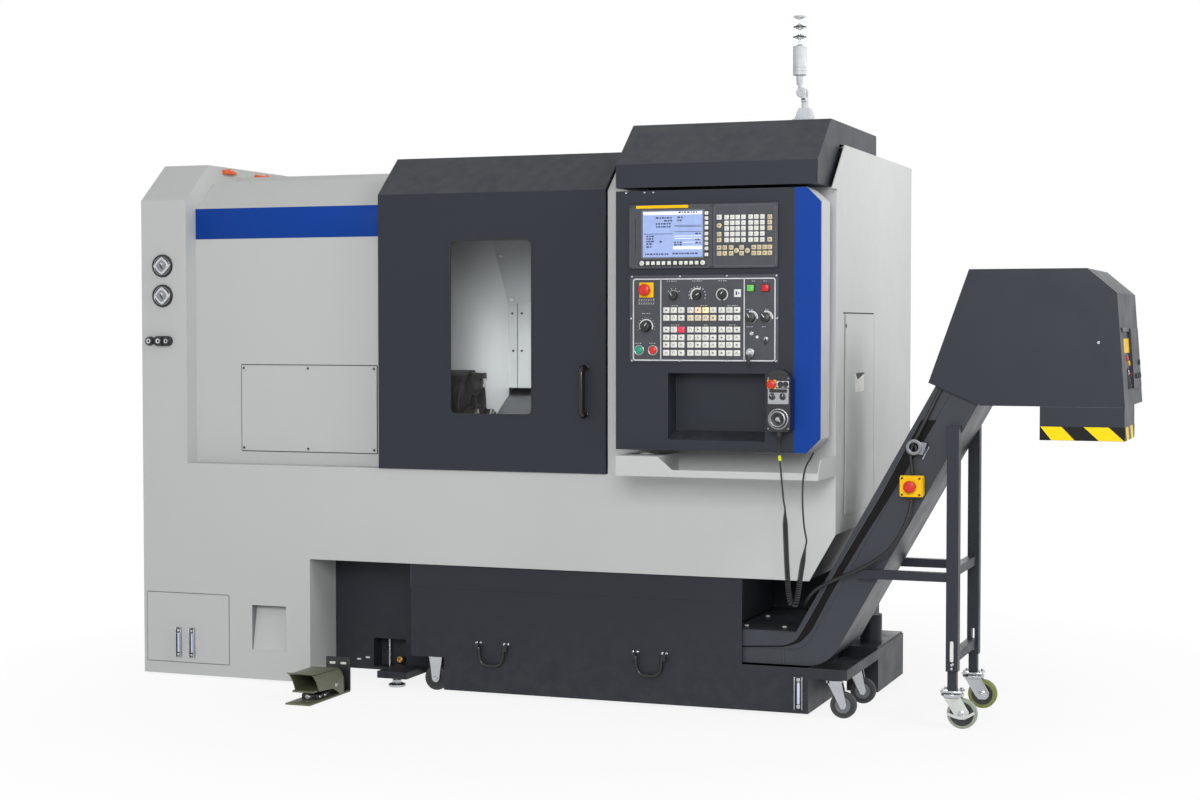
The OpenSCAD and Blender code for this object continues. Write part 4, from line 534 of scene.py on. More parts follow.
def moulded(name, colour, edge, rough=0.4, skin=0.12, highlight=0.3):
    finish, tree, shader = new_finish(name)
    plastic = use_group(tree, moulded_speckle, Color=colour, Roughness=rough)
    edges = use_group(tree, soft_edge, Rubbed=highlight)
    # a lighter tone on the edges: painted highlight
    tree.links.new(mixed(tree, edges.outputs["Mask"], plastic.outputs["Color"], edge),
                   shader.inputs["Base Color"])
    tree.links.new(plastic.outputs["Roughness"], shader.inputs["Roughness"])
    bumped(tree, shader, plastic.outputs["Height"], edges.outputs["Normal"], skin, 0.0003)
    return finish


finishes["bright_steel"] = metal("bright_steel", srgb(186, 188, 191), srgb(226, 226, 228),
                                 0.24, 0.12)
finishes["cast_iron"] = metal("cast_iron", srgb(140, 142, 146), srgb(190, 190, 192), 0.38, 0.15)
finishes["black_plastic"] = moulded("black_plastic", srgb(26, 27, 29), srgb(70, 72, 75), 0.4)
finishes["cord_rubber"] = moulded("cord_rubber", srgb(24, 24, 26), srgb(60, 60, 62), 0.5)
finishes["tyre_rubber"] = moulded("tyre_rubber", srgb(52, 53, 54), srgb(95, 95, 95), 0.62, 0.25)
finishes["red_plastic"] = moulded("red_plastic", srgb(208, 36, 14), srgb(240, 96, 66), 0.3)
finishes["green_plastic"] = moulded("green_plastic", srgb(22, 150, 116), srgb(80, 190, 160), 0.3)

glass, tree, shader = new_finish("window_glass")
shader.inputs["Transmission Weight"].default_value = 1.0
shader.inputs["IOR"].default_value = 1.12
shader.inputs["Base Color"].default_value = (0.93, 0.95, 0.96, 1.0)
smear = remap(tree, noise_field(tree, 7.0, 5.0).outputs["Fac"], 0.35, 0.75, 0.0, 0.05)
tree.links.new(smear, shader.inputs["Roughness"])
clear = tree.nodes.new("ShaderNodeBsdfTransparent")
passing = tree.nodes.new("ShaderNodeMixShader")
tree.links.new(tree.nodes.new("ShaderNodeLightPath").outputs["Is Shadow Ray"], passing.inputs[0])
tree.links.new(shader.outputs[0], passing.inputs[1])
tree.links.new(clear.outputs[0], passing.inputs[2])
tree.links.new(passing.outputs[0], tree.nodes["Material Output"].inputs["Surface"])
finishes["window_glass"] = glass
print("finishes", sorted(finishes))

# %% Finish every carried-over solid by its slot
slot_of = {row["node"]: row["material_slot"] for row in frame["record"]["subparts"]}
for name, obj in nodes.items():
    obj.data.materials.clear()
    obj.data.materials.append(finishes[slot_of[name]])
for obj in [pendant_cord, *cables]:
    obj.data.materials.append(finishes["cord_rubber"])
print("finished nodes", len(nodes))

# %% [markdown]
# The floor is pale and keeps the shadow near the machine. Further out it turns into the
# plain white of the room for the camera, so there is no horizon line in the picture.

# %% The floor's own finish
floor_finish, tree, shader = new_finish("pale_floor")
speck = remap(tree, noise_field(tree, 3.0, 4.0).outputs["Fac"], 0.3, 0.7, 0.0, 1.0)
tree.links.new(mixed(tree, speck, (0.9, 0.9, 0.9, 1.0), (0.93, 0.93, 0.93, 1.0)),
               shader.inputs["Base Color"])
shader.inputs["Roughness"].default_value = 0.9
shader.inputs["Specular IOR Level"].default_value = 0.1
spread = tree.nodes.new("ShaderNodeVectorMath")
spread.operation = "LENGTH"
tree.links.new(tree.nodes.new("ShaderNodeTexCoord").outputs["Object"], spread.inputs[0])
away = remap(tree, spread.outputs["Value"], 1.4, 2.8, 0.86, 1.0)
bright = tree.nodes.new("ShaderNodeEmission")
bright.inputs["Strength"].default_value = 1.0
blend = tree.nodes.new("ShaderNodeMixShader")
tree.links.new(maths(tree, "MULTIPLY", away, light_path_white(tree)), blend.inputs[0])
tree.links.new(shader.outputs[0], blend.inputs[1])
tree.links.new(bright.outputs[0], blend.inputs[2])
tree.links.new(blend.outputs[0], tree.nodes["Material Output"].inputs["Surface"])
floor_mesh.materials.append(floor_finish)
print("floor finished")

# %% [markdown]
# Small pieces are built with a few mesh helpers: a block with softened edges, a turned
# form made from a profile of radius and height, and a thin raised line that follows
# a path on an upright face. They all work in one mesh, so a row of keys is one piece,
# and each part of it can take its own finish by a material number. Plates are cut from an
# outline, and a bent bar follows a route with rounded corners.

# %% Mesh helpers
FRONT, BACK, UP, RIGHT = (0, -1, 0), (0, 1, 0), (0, 0, 1), (1, 0, 0)


def block(bm, low, high, soft=0.0, tint=0):
    """A box between two corners in millimetres, with softened edges."""
    a, b = place(*low), place(*high)
    made = bmesh.ops.create_cube(bm, size=1.0)["verts"]
    for v in made:
        v.co = Vector([(a[i] + b[i]) / 2 + v.co[i] * (b[i] - a[i]) for i in range(3)])
    for f in {f for v in made for f in v.link_faces}:
        f.material_index = tint
    if soft:
        edges = list({e for v in made for e in v.link_edges})
        bmesh.ops.bevel(bm, geom=edges, offset=soft / 1000, segments=2, profile=0.5,
                        affect="EDGES", clamp_overlap=True, material=-1)


def turned(bm, centre, axis, profile, steps=28, tint=0):
    """A turned form: pairs of radius and height along an axis, in millimetres."""
    axis = Vector(axis).normalized()
    side = axis.orthogonal().normalized()
    other = axis.cross(side)
    rings = []
    for radius, height in profile:
        middle = place(*centre) + axis * (height / 1000)
        spokes = steps if radius else 1
        rings.append([bm.verts.new(
            middle + (side * math.cos(2 * math.pi * k / steps)
                      + other * math.sin(2 * math.pi * k / steps)) * (radius / 1000))
            for k in range(spokes)])
    for a, b in zip(rings, rings[1:]):
        if len(a) == 1 and len(b) == 1:
            continue
        for k in range(steps):
            n = (k + 1) % steps
            corners = [a[0]] if len(a) == 1 else [a[k], a[n]]
            corners += [b[0]] if len(b) == 1 else [b[n], b[k]]
            bm.faces.new(corners).material_index = tint


def ribbon(bm, path, width, front, back, tint=0, closed=False):
    """A thin raised line along x and z points on an upright face."""
    count = len(path)
    rows = []
    for k in range(count):
        here = Vector(path[k])
        before = Vector(path[k - 1]) if k or closed else here * 2 - Vector(path[1])
        after = Vector(path[(k + 1) % count]) if k + 1 < count or closed else here * 2 - before
        a, b = (here - before).normalized(), (after - here).normalized()
        normal = Vector((-(a.y + b.y), a.x + b.x)).normalized()
        reach = width / 2 / max(0.4, normal.dot(Vector((-a.y, a.x))))
        rows.append([bm.verts.new(place(here.x + normal.x * reach * s, y,
                                        here.y + normal.y * reach * s)) for s,
                     y in ((-1, front), (1, front), (1, back), (-1, back))])
    turns = count if closed else count - 1
    for k in range(turns):
        a, b = rows[k], rows[(k + 1) % count]
        for i in range(4):
            j = (i + 1) % 4
            bm.faces.new((a[i], a[j], b[j], b[i])).material_index = tint
    if not closed:
        for row in (rows[0], rows[-1]):
            bm.faces.new(row).material_index = tint


def arc(cx, cz, radius, start, end, steps=20):
    """Points on an arc; nought degrees points up, and angles run clockwise."""
    return [(cx + radius * math.sin(math.radians(start + (end - start) * k / steps)),
             cz + radius * math.cos(math.radians(start + (end - start) * k / steps)))
            for k in range(steps + 1)]


def spoke(cx, cz, near, far, degrees):
    """Both ends of a stroke that points away from a centre."""
    s, c = math.sin(math.radians(degrees)), math.cos(math.radians(degrees))
    return [(cx + s * near, cz + c * near), (cx + s * far, cz + c * far)]


def low_head(r, side, top_r, top, foot=-0.5):
    """The profile of a low head: straight sides, then a soft edge up to a flat top."""
    return [(0, foot), (r, foot), (r, side), (top_r, top), (0, top)]


def plain_rod(r, top, foot=0):
    """The profile of a plain round rod."""
    return [(0, foot), (r, foot), (r, top), (0, top)]


def oblong(a0, a1, b0, b1):
    """The four corners of an upright rectangle."""
    return [(a0, b0), (a1, b0), (a1, b1), (a0, b1)]


def rounded_path(x0, x1, z0, z1, r):
    """A closed path around a rectangle with round corners."""
    corners = ((x1 - r, z1 - r, 0), (x1 - r, z0 + r, 90), (x0 + r, z0 + r, 180), (x0 + r, z1 - r, 270))
    return [p for cx, cz, a in corners for p in arc(cx, cz, r, a, a + 90, 5)]


def prism(bm, near, far, tint=0):
    """A closed form between two outlines with the same number of points."""
    near = [bm.verts.new(place(*p)) for p in near]
    far = [bm.verts.new(place(*p)) for p in far]
    bm.faces.new(near).material_index = tint
    bm.faces.new(far[::-1]).material_index = tint
    for k in range(len(near)):
        n = (k + 1) % len(near)
        bm.faces.new((near[k], far[k], far[n], near[n])).material_index = tint


def cut_plate(bm, outline, front, back, tint=0):
    """A thin plate on an upright face, from x and z points."""
    prism(bm, [(x, front, z) for x, z in outline], [(x, back, z) for x, z in outline], tint)


def side_plate(bm, outline, x0, x1, tint=0):
    """A thin plate on a face that looks right, from y and z points."""
    prism(bm, [(x1, y, z) for y, z in outline], [(x0, y, z) for y, z in outline], tint)


def eased(points, r, steps=6):
    """A route with its corners rounded off."""
    out = [Vector(points[0])]
    for a, b, c in zip(points, points[1:], points[2:]):
        a, b, c = Vector(a), Vector(b), Vector(c)
        p, q = b + (a - b).normalized() * r, b + (c - b).normalized() * r
        out += [p.lerp(b, k / steps).lerp(b.lerp(q, k / steps), k / steps) for k in range(steps + 1)]
    return out + [Vector(points[-1])]


def bent_bar(bm, route, r, tint=0, steps=18):
    """A round bar along points in millimetres, closed at both ends."""
    line = [place(*p) for p in route]
    side = (line[1] - line[0]).orthogonal().normalized()
    rings = []
    for k, here in enumerate(line):
        ahead = (line[min(k + 1, len(line) - 1)] - line[max(k - 1, 0)]).normalized()
        side = (side - ahead * side.dot(ahead)).normalized()
        other = ahead.cross(side)
        turns = [2 * math.pi * i / steps for i in range(steps)]
        rings.append([bm.verts.new(here + (side * math.cos(a) + other * math.sin(a)) * (r / 1000))
                      for a in turns])
    for a, b in zip(rings, rings[1:]):
        for i in range(steps):
            j = (i + 1) % steps
            bm.faces.new((a[i], a[j], b[j], b[i])).material_index = tint
    for ring in (rings[0][::-1], rings[-1]):
        bm.faces.new(ring).material_index = tint


def piece(name, bm, body, slot, *materials, sharp=38):
    """Turns the mesh into a finished piece that rides on a body."""
    bmesh.ops.recalc_face_normals(bm, faces=bm.faces)
    mesh = bpy.data.meshes.new(name)
    bm.to_mesh(mesh)
    bm.free()
    for finish in materials:
        mesh.materials.append(finish)
    mesh.polygons.foreach_set("use_smooth", [True] * len(mesh.polygons))
    mesh.set_sharp_from_angle(angle=math.radians(sharp))
    obj = bpy.data.objects.new(name, mesh)
    scene.collection.objects.link(obj)
    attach(obj, body)
    return obj


print("mesh helpers ready")

# %% [markdown]
# The control unit: a grey moulded bezel with a flat screen, soft keys below and beside
# it, and a keypad of pale caps on its own plate. The caps could be one box with a bump
# for the gaps, but light falls between real caps, so each is its own softened block.
# The solid's plain unit is replaced as a whole, because its keys are coarser than these.

# %% Finishes of the control panels
ivory = moulded("ivory_key", srgb(226, 226, 220), srgb(246, 246, 242), 0.42)
beige = moulded("beige_key", srgb(208, 194, 160), srgb(232, 222, 196), 0.42)
panel_grey = moulded("panel_grey", srgb(60, 63, 70), srgb(108, 112, 120), 0.5, 0.15, 0.5)
white_ink = moulded("white_ink", srgb(222, 224, 226), srgb(240, 240, 240), 0.55)
black = finishes["black_plastic"]
chrome = finishes["bright_steel"]
red = finishes["red_plastic"]
green = finishes["green_plastic"]
yellow = finishes["yellow_paint"]


def lit(name, colour, strength):
    """A plastic that glows a little in its own colour."""
    finish, tree, shader = new_finish(name)
    plastic = use_group(tree, moulded_speckle, Color=colour, Roughness=0.32)
    tree.links.new(plastic.outputs["Color"], shader.inputs["Base Color"])
    tree.links.new(plastic.outputs["Roughness"], shader.inputs["Roughness"])
    tree.links.new(plastic.outputs["Color"], shader.inputs["Emission Color"])
    shader.inputs["Emission Strength"].default_value = strength
    bumped(tree, shader, plastic.outputs["Height"], None, 0.05, 0.0002)
    return finish


sky = lit("screen_blue", srgb(140, 158, 202), 0.42)
pale_line = lit("screen_white", srgb(236, 240, 250), 0.5)
dark_line = lit("screen_ink", srgb(40, 48, 84), 0.1)
nodes["operator_panel"].data.materials[0] = panel_grey
print("panel finishes made")

# %% Control unit: bezel
UNIT_Y = -191
SCREEN = (2096, 2308, 1569.5, 1724)
bm = bmesh.new()
cut_plate(bm, rounded_path(2047, 2341.6, 1532, 1746, 5), UNIT_Y, -179.8, 0)
cut_plate(bm, rounded_path(2342.8, 2567.5, 1531.5, 1745.5, 4), UNIT_Y - 1.4, -179.8, 0)
cut_plate(bm, rounded_path(2312.4, 2331, 1567, 1725, 3), UNIT_Y - 0.4, UNIT_Y + 0.2, 1)
cut_plate(bm, rounded_path(2081, 2319, 1539.6, 1560, 3), UNIT_Y - 0.4, UNIT_Y + 0.2, 1)
cut_plate(bm, rounded_path(2072, 2257, 1734, 1744, 2), UNIT_Y - 1.4, UNIT_Y + 0.2, 2)
ribbon(bm, rounded_path(SCREEN[0] - 3, SCREEN[1] + 3, SCREEN[2] - 3, SCREEN[3] + 3, 4), 5.0,
       UNIT_Y - 1.8, UNIT_Y + 0.2, 3, True)
ribbon(bm, [(2071, 1580), (2071, 1704)], 3.0, UNIT_Y - 0.8, UNIT_Y + 0.2, 1)
ribbon(bm, rounded_path(2349, 2561, 1538, 1739, 4), 0.9, UNIT_Y - 1.8, UNIT_Y - 1.0, 3, True)


def screw_head(bm, x, y, z, r, tint=0, axis=FRONT):
    """A low round screw head with a socket in it."""
    turned(bm, (x, y, z), axis, [(0, -0.5), (r, -0.5), (r, r * 0.35), (r * 0.8, r * 0.55),
                                 (r * 0.42, r * 0.55), (r * 0.36, r * 0.2), (0, r * 0.2)], 16, tint)


for x in (2052.5, 2336, 2347.6, 2562.6):
    for z in (1537, 1740.4):
        screw_head(bm, x, UNIT_Y - (1.4 if x > 2340 else 0), z, 2.8, 1)
bezel = piece("control_unit_bezel", bm, "console", "black_plastic", panel_grey, black, yellow,
              moulded("bezel_edge", srgb(96, 100, 108), srgb(140, 144, 150), 0.45))
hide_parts("control_unit")
print("control bezel made")

# %% Control unit: screen
bm = bmesh.new()


def on_screen(u, v):
    return SCREEN[0] + u * (SCREEN[1] - SCREEN[0]), SCREEN[2] + v * (SCREEN[3] - SCREEN[2])


def screen_bar(u0, u1, v0, v1, tint, out=0.3):
    """A flat bar on the screen, from shares of its width and height."""
    (x0, z0), (x1, z1) = on_screen(u0, v0), on_screen(u1, v1)
    block(bm, (x0, UNIT_Y - 0.6 - out, z0), (x1, UNIT_Y, z1), 0, tint)


screen_bar(0, 1, 0, 1, 0, 0)
screen_bar(0.01, 0.99, 0.925, 0.99, 1)
screen_bar(0.51, 0.99, 0.17, 0.235, 1)
for v in (0.68, 0.655, 0.545, 0.45, 0.40, 0.315):
    screen_bar(0.53, 0.98, v, v + 0.01, 2 if v > 0.5 else 1)
screen_bar(0.02, 0.5, 0.5, 0.512, 2)
dashes = (0.055, 0.03, 0.04, 0.03, 0.05, 0.025, 0.04)
rows = [(0.84, 0.22, 6), (0.775, 0.36, 3), (0.71, 0.22, 6), (0.645, 0.22, 6), (0.845, 0.58, 2),
        (0.78, 0.58, 2), (0.44, 0.06, 3), (0.385, 0.06, 3), (0.33, 0.06, 3), (0.275, 0.06, 2),
        (0.21, 0.06, 2), (0.49, 0.88, 2), (0.30, 0.53, 3), (0.25, 0.53, 3), (0.36, 0.88, 2),
        (0.29, 0.88, 2), (0.06, 0.5, 9), (0.05, 0.04, 9), (0.95, 0.6, 7), (0.32, 0.28, 1)]
for v, u, count in rows:
    for k in range(count):
        wide = dashes[(k + int(v * 100)) % len(dashes)]
        screen_bar(u, min(0.985, u + wide * 0.8), v, v + 0.034, 2, 0.4)
        u += wide + 0.008
piece("control_screen", bm, "console", "black_plastic", sky, pale_line, dark_line)
print("screen drawn")

# %% Control unit: keys
PAD_X = [2392.3, 2411.7, 2430.5, 2450.5, 2475.3, 2494.5, 2515.4]
PAD_Z = [1699.8, 1680.9, 1662.4, 1643.5, 1623.9]
LOW_X = [2366.5, 2386.0, 2408.1, 2444.3, 2486.1, 2504.7, 2523.9, 2541.5]
SIDE_Z = [1715.2, 1698.4, 1682.2, 1666, 1646.7, 1629.9, 1613.7, 1597.5, 1576.9]
SOFT_X = [2113.6, 2132.9, 2151.9, 2170.2, 2190.1, 2211.2, 2231.4, 2249.5, 2267.9, 2287.3]
PAD_Y = UNIT_Y - 1.4
PAD_TOP = PAD_Y - 3.6
SOFT_TOP, SOFT_Z = UNIT_Y - 3.8, 1549.8


def key_cap(bm, x, z, w, h, top, face, soft, tint=0):
    """A softened cap of a key on the front."""
    block(bm, (x - w / 2, top, z - h / 2), (x + w / 2, face + 0.2, z + h / 2), soft, tint)


def key_mark(x, z, top, kind):
    """A small dark sign on a cap: a stroke, a frame, an arrow or two lines."""
    front, back = top - 0.15, top + 0.1
    if kind == 0:
        ribbon(bm, [(x - 2.6, z), (x + 2.6, z)], 3.2, front, back, 2)
    elif kind == 1:
        ribbon(bm, rounded_path(x - 3.4, x + 3.4, z - 2.6, z + 2.6, 1.2), 1.0, front, back, 2, True)
    elif kind == 2:
        ribbon(bm, [(x - 3, z - 2.6), (x, z + 2.8), (x + 3, z - 2.6)], 1.2, front, back, 2)
    else:
        ribbon(bm, [(x - 3.4, z + 1.6), (x + 3.4, z + 1.6)], 1.1, front, back, 2)
        ribbon(bm, [(x - 3.4, z - 1.6), (x + 1.6, z - 1.6)], 1.1, front, back, 2)


def round_key(x, z, r, face, tint):
    turned(bm, (x, face, z), FRONT, low_head(r, 3.0, r - 0.8, 3.6, -0.2), 24, tint)


bm = bmesh.new()
for i, x in enumerate(PAD_X):
    for j, z in enumerate(PAD_Z):
        key_cap(bm, x, z, 15.6, 15.2, PAD_TOP, PAD_Y, 1.4)
        reach = (0.5, 2.2, 1.2)[(i + j) % 3]
        ribbon(bm, [(x - 2.2, z), (x + reach, z)], 1.3, PAD_TOP - 0.15, PAD_TOP + 0.1, 2)
for k, x in enumerate(LOW_X):
    for j, z in enumerate((1599.0, 1579.6)):
        key_cap(bm, x, z, 15.8, 15.2, PAD_TOP, PAD_Y, 1.4, 1)
        key_mark(x, z, PAD_TOP, (k + j) % 4)
for x, zs in ((2366.4, (1643.8, 1624.3)), (2541, (1698.7, 1680.8, 1662.1, 1624.2))):
    for j, z in enumerate(zs):
        key_cap(bm, x, z, 15.8, 15.2, PAD_TOP, PAD_Y, 1.4, 1)
        key_mark(x, z, PAD_TOP, (j + 1) % 4)
key_cap(bm, 2366.3, 1700.4, 17.6, 16.6, PAD_TOP, PAD_Y, 2.4)
key_mark(2366.3, 1700.4, PAD_TOP, 1)
for x, z in ((2366.4, 1672.4), (2426.5, 1588.7), (2464.3, 1588.2)):
    round_key(x, z, 8.6, PAD_Y, 1)
    key_mark(x, z, PAD_TOP, 2)
for z in SIDE_Z:
    key_cap(bm, 2321.7, z, 12.6, 11.8, SOFT_TOP, UNIT_Y, 1.3)
for x in SOFT_X:
    key_cap(bm, x, SOFT_Z, 12.6, 12.6, SOFT_TOP, UNIT_Y, 1.3)
for x in (2092.9, 2308.6):
    round_key(x, SOFT_Z, 8.2, UNIT_Y, 0)
    key_mark(x, SOFT_Z, UNIT_Y - 3.6, 2)
piece("control_keys", bm, "console", "black_plastic", ivory, beige, panel_grey)
print("control keys made")

# %% [markdown]
# The operator panel below carries the machine's own keys in three groups, round dials with
# white arcs, two lit keys, selectors and a key switch. White lines on a real panel
# are screen printed, and here they are raised by a few tenths of a millimetre so that they
# stay crisp in the exported shape too.

# %% Operator panel: printed lines and screws
PANEL_X, PANEL_Z, PANEL_W, PANEL_H, PANEL_Y = 2047, 1217, 522, 292, -184


def on_panel(u, v):
    return PANEL_X + u * PANEL_W, PANEL_Z + v * PANEL_H


INK_FRONT, INK_BACK = PANEL_Y - 0.4, PANEL_Y + 0.3
bm = bmesh.new()
left, right, low, high = PANEL_X + 13, PANEL_X + 510, PANEL_Z + 5, PANEL_Z + 279
ribbon(bm, rounded_path(left, right, low, high, 7), 4.0, INK_FRONT, INK_BACK, 0, True)
for x in (PANEL_X + 111, PANEL_X + 404):
    ribbon(bm, [(x, low), (x, high)], 3.6, INK_FRONT, INK_BACK)
DIALS = [on_panel(u, v) for u, v in ((0.3, 0.76), (0.46, 0.767), (0.626, 0.775))]
FEED = on_panel(0.115, 0.41)
SELECTORS = [on_panel(0.82, 0.507), on_panel(0.92, 0.507)]
ribbon(bm, arc(*DIALS[0], 19, -48, 52, 10), 1.6, INK_FRONT, INK_BACK)
ribbon(bm, arc(*DIALS[2], 19.4, -165, 165, 30), 3.6, INK_FRONT, INK_BACK)
ribbon(bm, arc(*DIALS[1], 22.5, -125, 30, 20), 5.0, INK_FRONT, INK_BACK)
ribbon(bm, arc(*FEED, 22.8, -115, 115, 22), 4.4, INK_FRONT - 3, INK_BACK - 3)
for cx, cz in SELECTORS:
    ribbon(bm, arc(cx, cz, 21.6, -20, 100, 14), 5.4, INK_FRONT, INK_BACK)
TICKS = [(DIALS[1], 27, 31, range(-110, 111, 22), 3.0), (DIALS[0], 23, 27, (-48, -18, 16, 52), 2.4),
         (FEED, 29, 32, range(-110, 111, 20), 1.4)]
for centre, near, far, angles, wide in TICKS:
    for a in angles:
        ribbon(bm, spoke(*centre, near, far, a), wide, INK_FRONT, INK_BACK)
STOP_STROKES = 7
for lz in (209, 197):
    for k in range(STOP_STROKES):
        x, z = PANEL_X + 30 + 60 * (k + 0.5) / STOP_STROKES, PANEL_Z + lz
        ribbon(bm, [(x - 2, z - 4), (x + 1.4, z + 4)], 1.8, INK_FRONT, INK_BACK)
LABELS = [(132, 272, 46), (222, 272, 44), (314, 272, 36), (150, 189, 30), (252, 189, 24),
          (346, 189, 40), (148, 124, 32), (264, 124, 16), (352, 124, 24), (44, 163, 32),
          (412, 176, 28), (476, 176, 10), (412, 118, 28), (466, 118, 22), (20, 62, 30),
          (70, 62, 30), (430, 270, 18), (470, 270, 14)]
for lx, lz, wide in LABELS:
    for k in range(max(2, wide // 8)):
        x, z = PANEL_X + lx + 8 * k, PANEL_Z + lz
        ribbon(bm, [(x, z), (x + (4.5, 3.2, 5.2)[k % 3], z)], 2.2, INK_FRONT, INK_BACK)
piece("panel_printed_lines", bm, "console", "black_plastic", white_ink)

bm = bmesh.new()
for u in (0.007, 0.34, 0.66, 0.993):
    for z in (PANEL_Z + 3.6, PANEL_Z + PANEL_H - 4):
        screw_head(bm, PANEL_X + 4 + u * (PANEL_W - 8), PANEL_Y, z, 3.6)
for x in (PANEL_X + 4.5, PANEL_X + PANEL_W - 4.5):
    screw_head(bm, x, PANEL_Y, PANEL_Z + 146, 3.6)
piece("panel_screws", bm, "console", "bright_steel", chrome)
print("panel lines and screws made")

# %% Operator panel: key caps
CAP_GROUPS = [(0.252, 3), (0.416, 4), (0.626, 3)]
CAP_ROWS = [0.596, 0.507, 0.372, 0.281, 0.197, 0.104]
CAP_PITCH, CAP_TOP = 26.5, PANEL_Y - 4.8
red_key = lit("red_lit_key", srgb(226, 52, 84), 0.35)
orange_key = lit("orange_key", srgb(248, 214, 186), 0.15)
gold_key = lit("gold_key", srgb(246, 236, 178), 0.15)
cream = moulded("cream_cap", srgb(224, 214, 188), srgb(236, 230, 212), 0.42)
CAP_TINTS = {(0, 2, 2): 2, (1, 1, 0): 3, (1, 2, 0): 4} | {(1, i, 1): 1 for i in range(4)}


def cap_signs(x, z):
    """Four plain signs, each of strokes with a width: a bar, an open ring, a roof and two lines."""
    return [[([(x - 3, z), (x + 3, z)], 4.6)],
            [(arc(x, z, 4.2, -140, 140, 8), 1.3)],
            [([(x - 4, z - 3.4), (x, z + 3.6), (x + 4, z - 3.4)], 1.4)],
            [([(x - 4.4, z + 2), (x + 4.4, z + 2)], 1.2), ([(x - 4.4, z - 2), (x + 2.0, z - 2)], 1.2)]]


bm = bmesh.new()
for g, (share, count) in enumerate(CAP_GROUPS):
    for i in range(count):
        for j, v in enumerate(CAP_ROWS):
            x, z = PANEL_X + share * PANEL_W + i * CAP_PITCH, PANEL_Z + v * PANEL_H
            key_cap(bm, x, z, 22.6, 19.6, CAP_TOP, PANEL_Y, 1.6, CAP_TINTS.get((g, i, j), 0))
            for path, wide in cap_signs(x, z)[(g * 5 + i * 3 + j * 2) % 4]:
                ribbon(bm, path, wide, CAP_TOP - 0.15, CAP_TOP + 0.1, 5)
piece("panel_key_caps", bm, "console", "black_plastic", ivory, cream, red_key, orange_key, gold_key,
      panel_grey)
print("panel key caps made")

# %% Operator panel: dials, selectors, lit keys and key switch
def pointer_knob(bm, x, y, z, r, tall, lean, tint=0, mark=1):
    """A round knob with a grip bar across it and a white pointer line."""
    turned(bm, (x, y, z), FRONT,
           [(0, -0.3), (r, -0.3), (r, tall * 0.5), (r * 0.95, tall * 0.8), (r * 0.86, tall * 0.86),
            (0, tall * 0.86)], 28, tint)
    bar_top = y - tall * 1.22
    ribbon(bm, spoke(x, z, -r * 0.86, r * 0.94, lean), r * 0.5, bar_top, y - tall * 0.3, tint)
    ribbon(bm, spoke(x, z, r * 0.1, r * 0.88, lean), r * 0.16, bar_top - 0.3, y - tall * 1.2, mark)


bm = bmesh.new()
for (x, z), lean in zip(DIALS, (-35, 62, 40)):
    pointer_knob(bm, x, PANEL_Y, z, 14.5, 17, lean)
for (x, z), lean in zip(SELECTORS, (-30, -40)):
    turned(bm, (x, PANEL_Y, z), FRONT, low_head(18.4, 2.4, 17, 3.2, -0.3), 32, 2)
    pointer_knob(bm, x, PANEL_Y - 3, z, 16.8, 17, lean)
x, z = on_panel(0.82, 0.11)
turned(bm, (x, PANEL_Y, z), FRONT,
       [(0, -0.3), (14.6, -0.3), (14.6, 13.6), (12.8, 15.2), (3, 15.2), (3, 12), (0, 12)], 32, 2)
block(bm, (x - 1.6, PANEL_Y - 30, z - 7), (x + 1.6, PANEL_Y - 13, z + 4), 0.5, 2)
block(bm, (x - 7, PANEL_Y - 33, z - 40), (x + 5, PANEL_Y - 29, z - 6), 1.6, 0)
x, z = PANEL_X + 430, PANEL_Z + 96
turned(bm, (x, PANEL_Y, z), FRONT,
       [(0, -0.3), (7, -0.3), (7, 2.6), (6, 3.4), (2, 3.4), (2, 2.6), (0, 2.6)], 24, 2)
x, z = PANEL_X + 449, PANEL_Z + 84
turned(bm, (x, PANEL_Y, z), FRONT, low_head(5, 1.6, 4, 2.2, -0.3), 20, 1)
x, z = PANEL_X + 480, PANEL_Z + 78
turned(bm, (x, PANEL_Y, z), FRONT, [(0, -0.3), (8, -0.3), (8, 4), (6, 5), (5, 8), (0, 8)], 24, 2)
turned(bm, (x, PANEL_Y - 7, z), (0.1, -0.6, -0.8),
       [(0, 0), (2.4, 0), (3.4, 16), (3.2, 19), (0, 20)], 16, 0)
x, z = PANEL_X + 369, PANEL_Z + 217
block(bm, (x, PANEL_Y - 2.6, z), (x + 24, PANEL_Y + 0.3, z + 26), 1.0, 1)
for dx, foot, top, wide in ((9, 7, 19, 5), (17, 9, 17, 3)):
    ribbon(bm, [(x + dx, z + foot), (x + dx, z + top)], wide, PANEL_Y - 3, PANEL_Y - 2.4, 0)
piece("panel_dials", bm, "console", "black_plastic", black, white_ink, chrome)

bm = bmesh.new()
lit_green = lit("lit_green_key", srgb(96, 186, 72), 0.22)
lit_red = lit("lit_red_key", srgb(196, 16, 18), 0.12)
for (u, v), tint in (((0.818, 0.845), 0), ((0.916, 0.845), 1)):
    x, z = on_panel(u, v)
    key_cap(bm, x, z, 27, 25, PANEL_Y - 3.2, PANEL_Y, 1.2, 2)
    key_cap(bm, x, z, 22, 21.5, PANEL_Y - 11, PANEL_Y, 2.0, tint)
piece("panel_lit_keys", bm, "console", "green_plastic", lit_green, lit_red, black)
print("dials, selectors and lit keys made")

# %% Stop, start and hold buttons on the operator panel
ESTOP, START, HOLD = on_panel(0.115, 0.83), on_panel(0.067, 0.132), on_panel(0.161, 0.132)
bm = bmesh.new()
block(bm, (ESTOP[0] - 25.5, PANEL_Y - 3.5, ESTOP[1] - 25.5),
      (ESTOP[0] + 25.5, PANEL_Y + 0.2, ESTOP[1] + 25.5), 1.2)
piece("estop_yellow_plate", bm, "console", "yellow_paint", yellow)


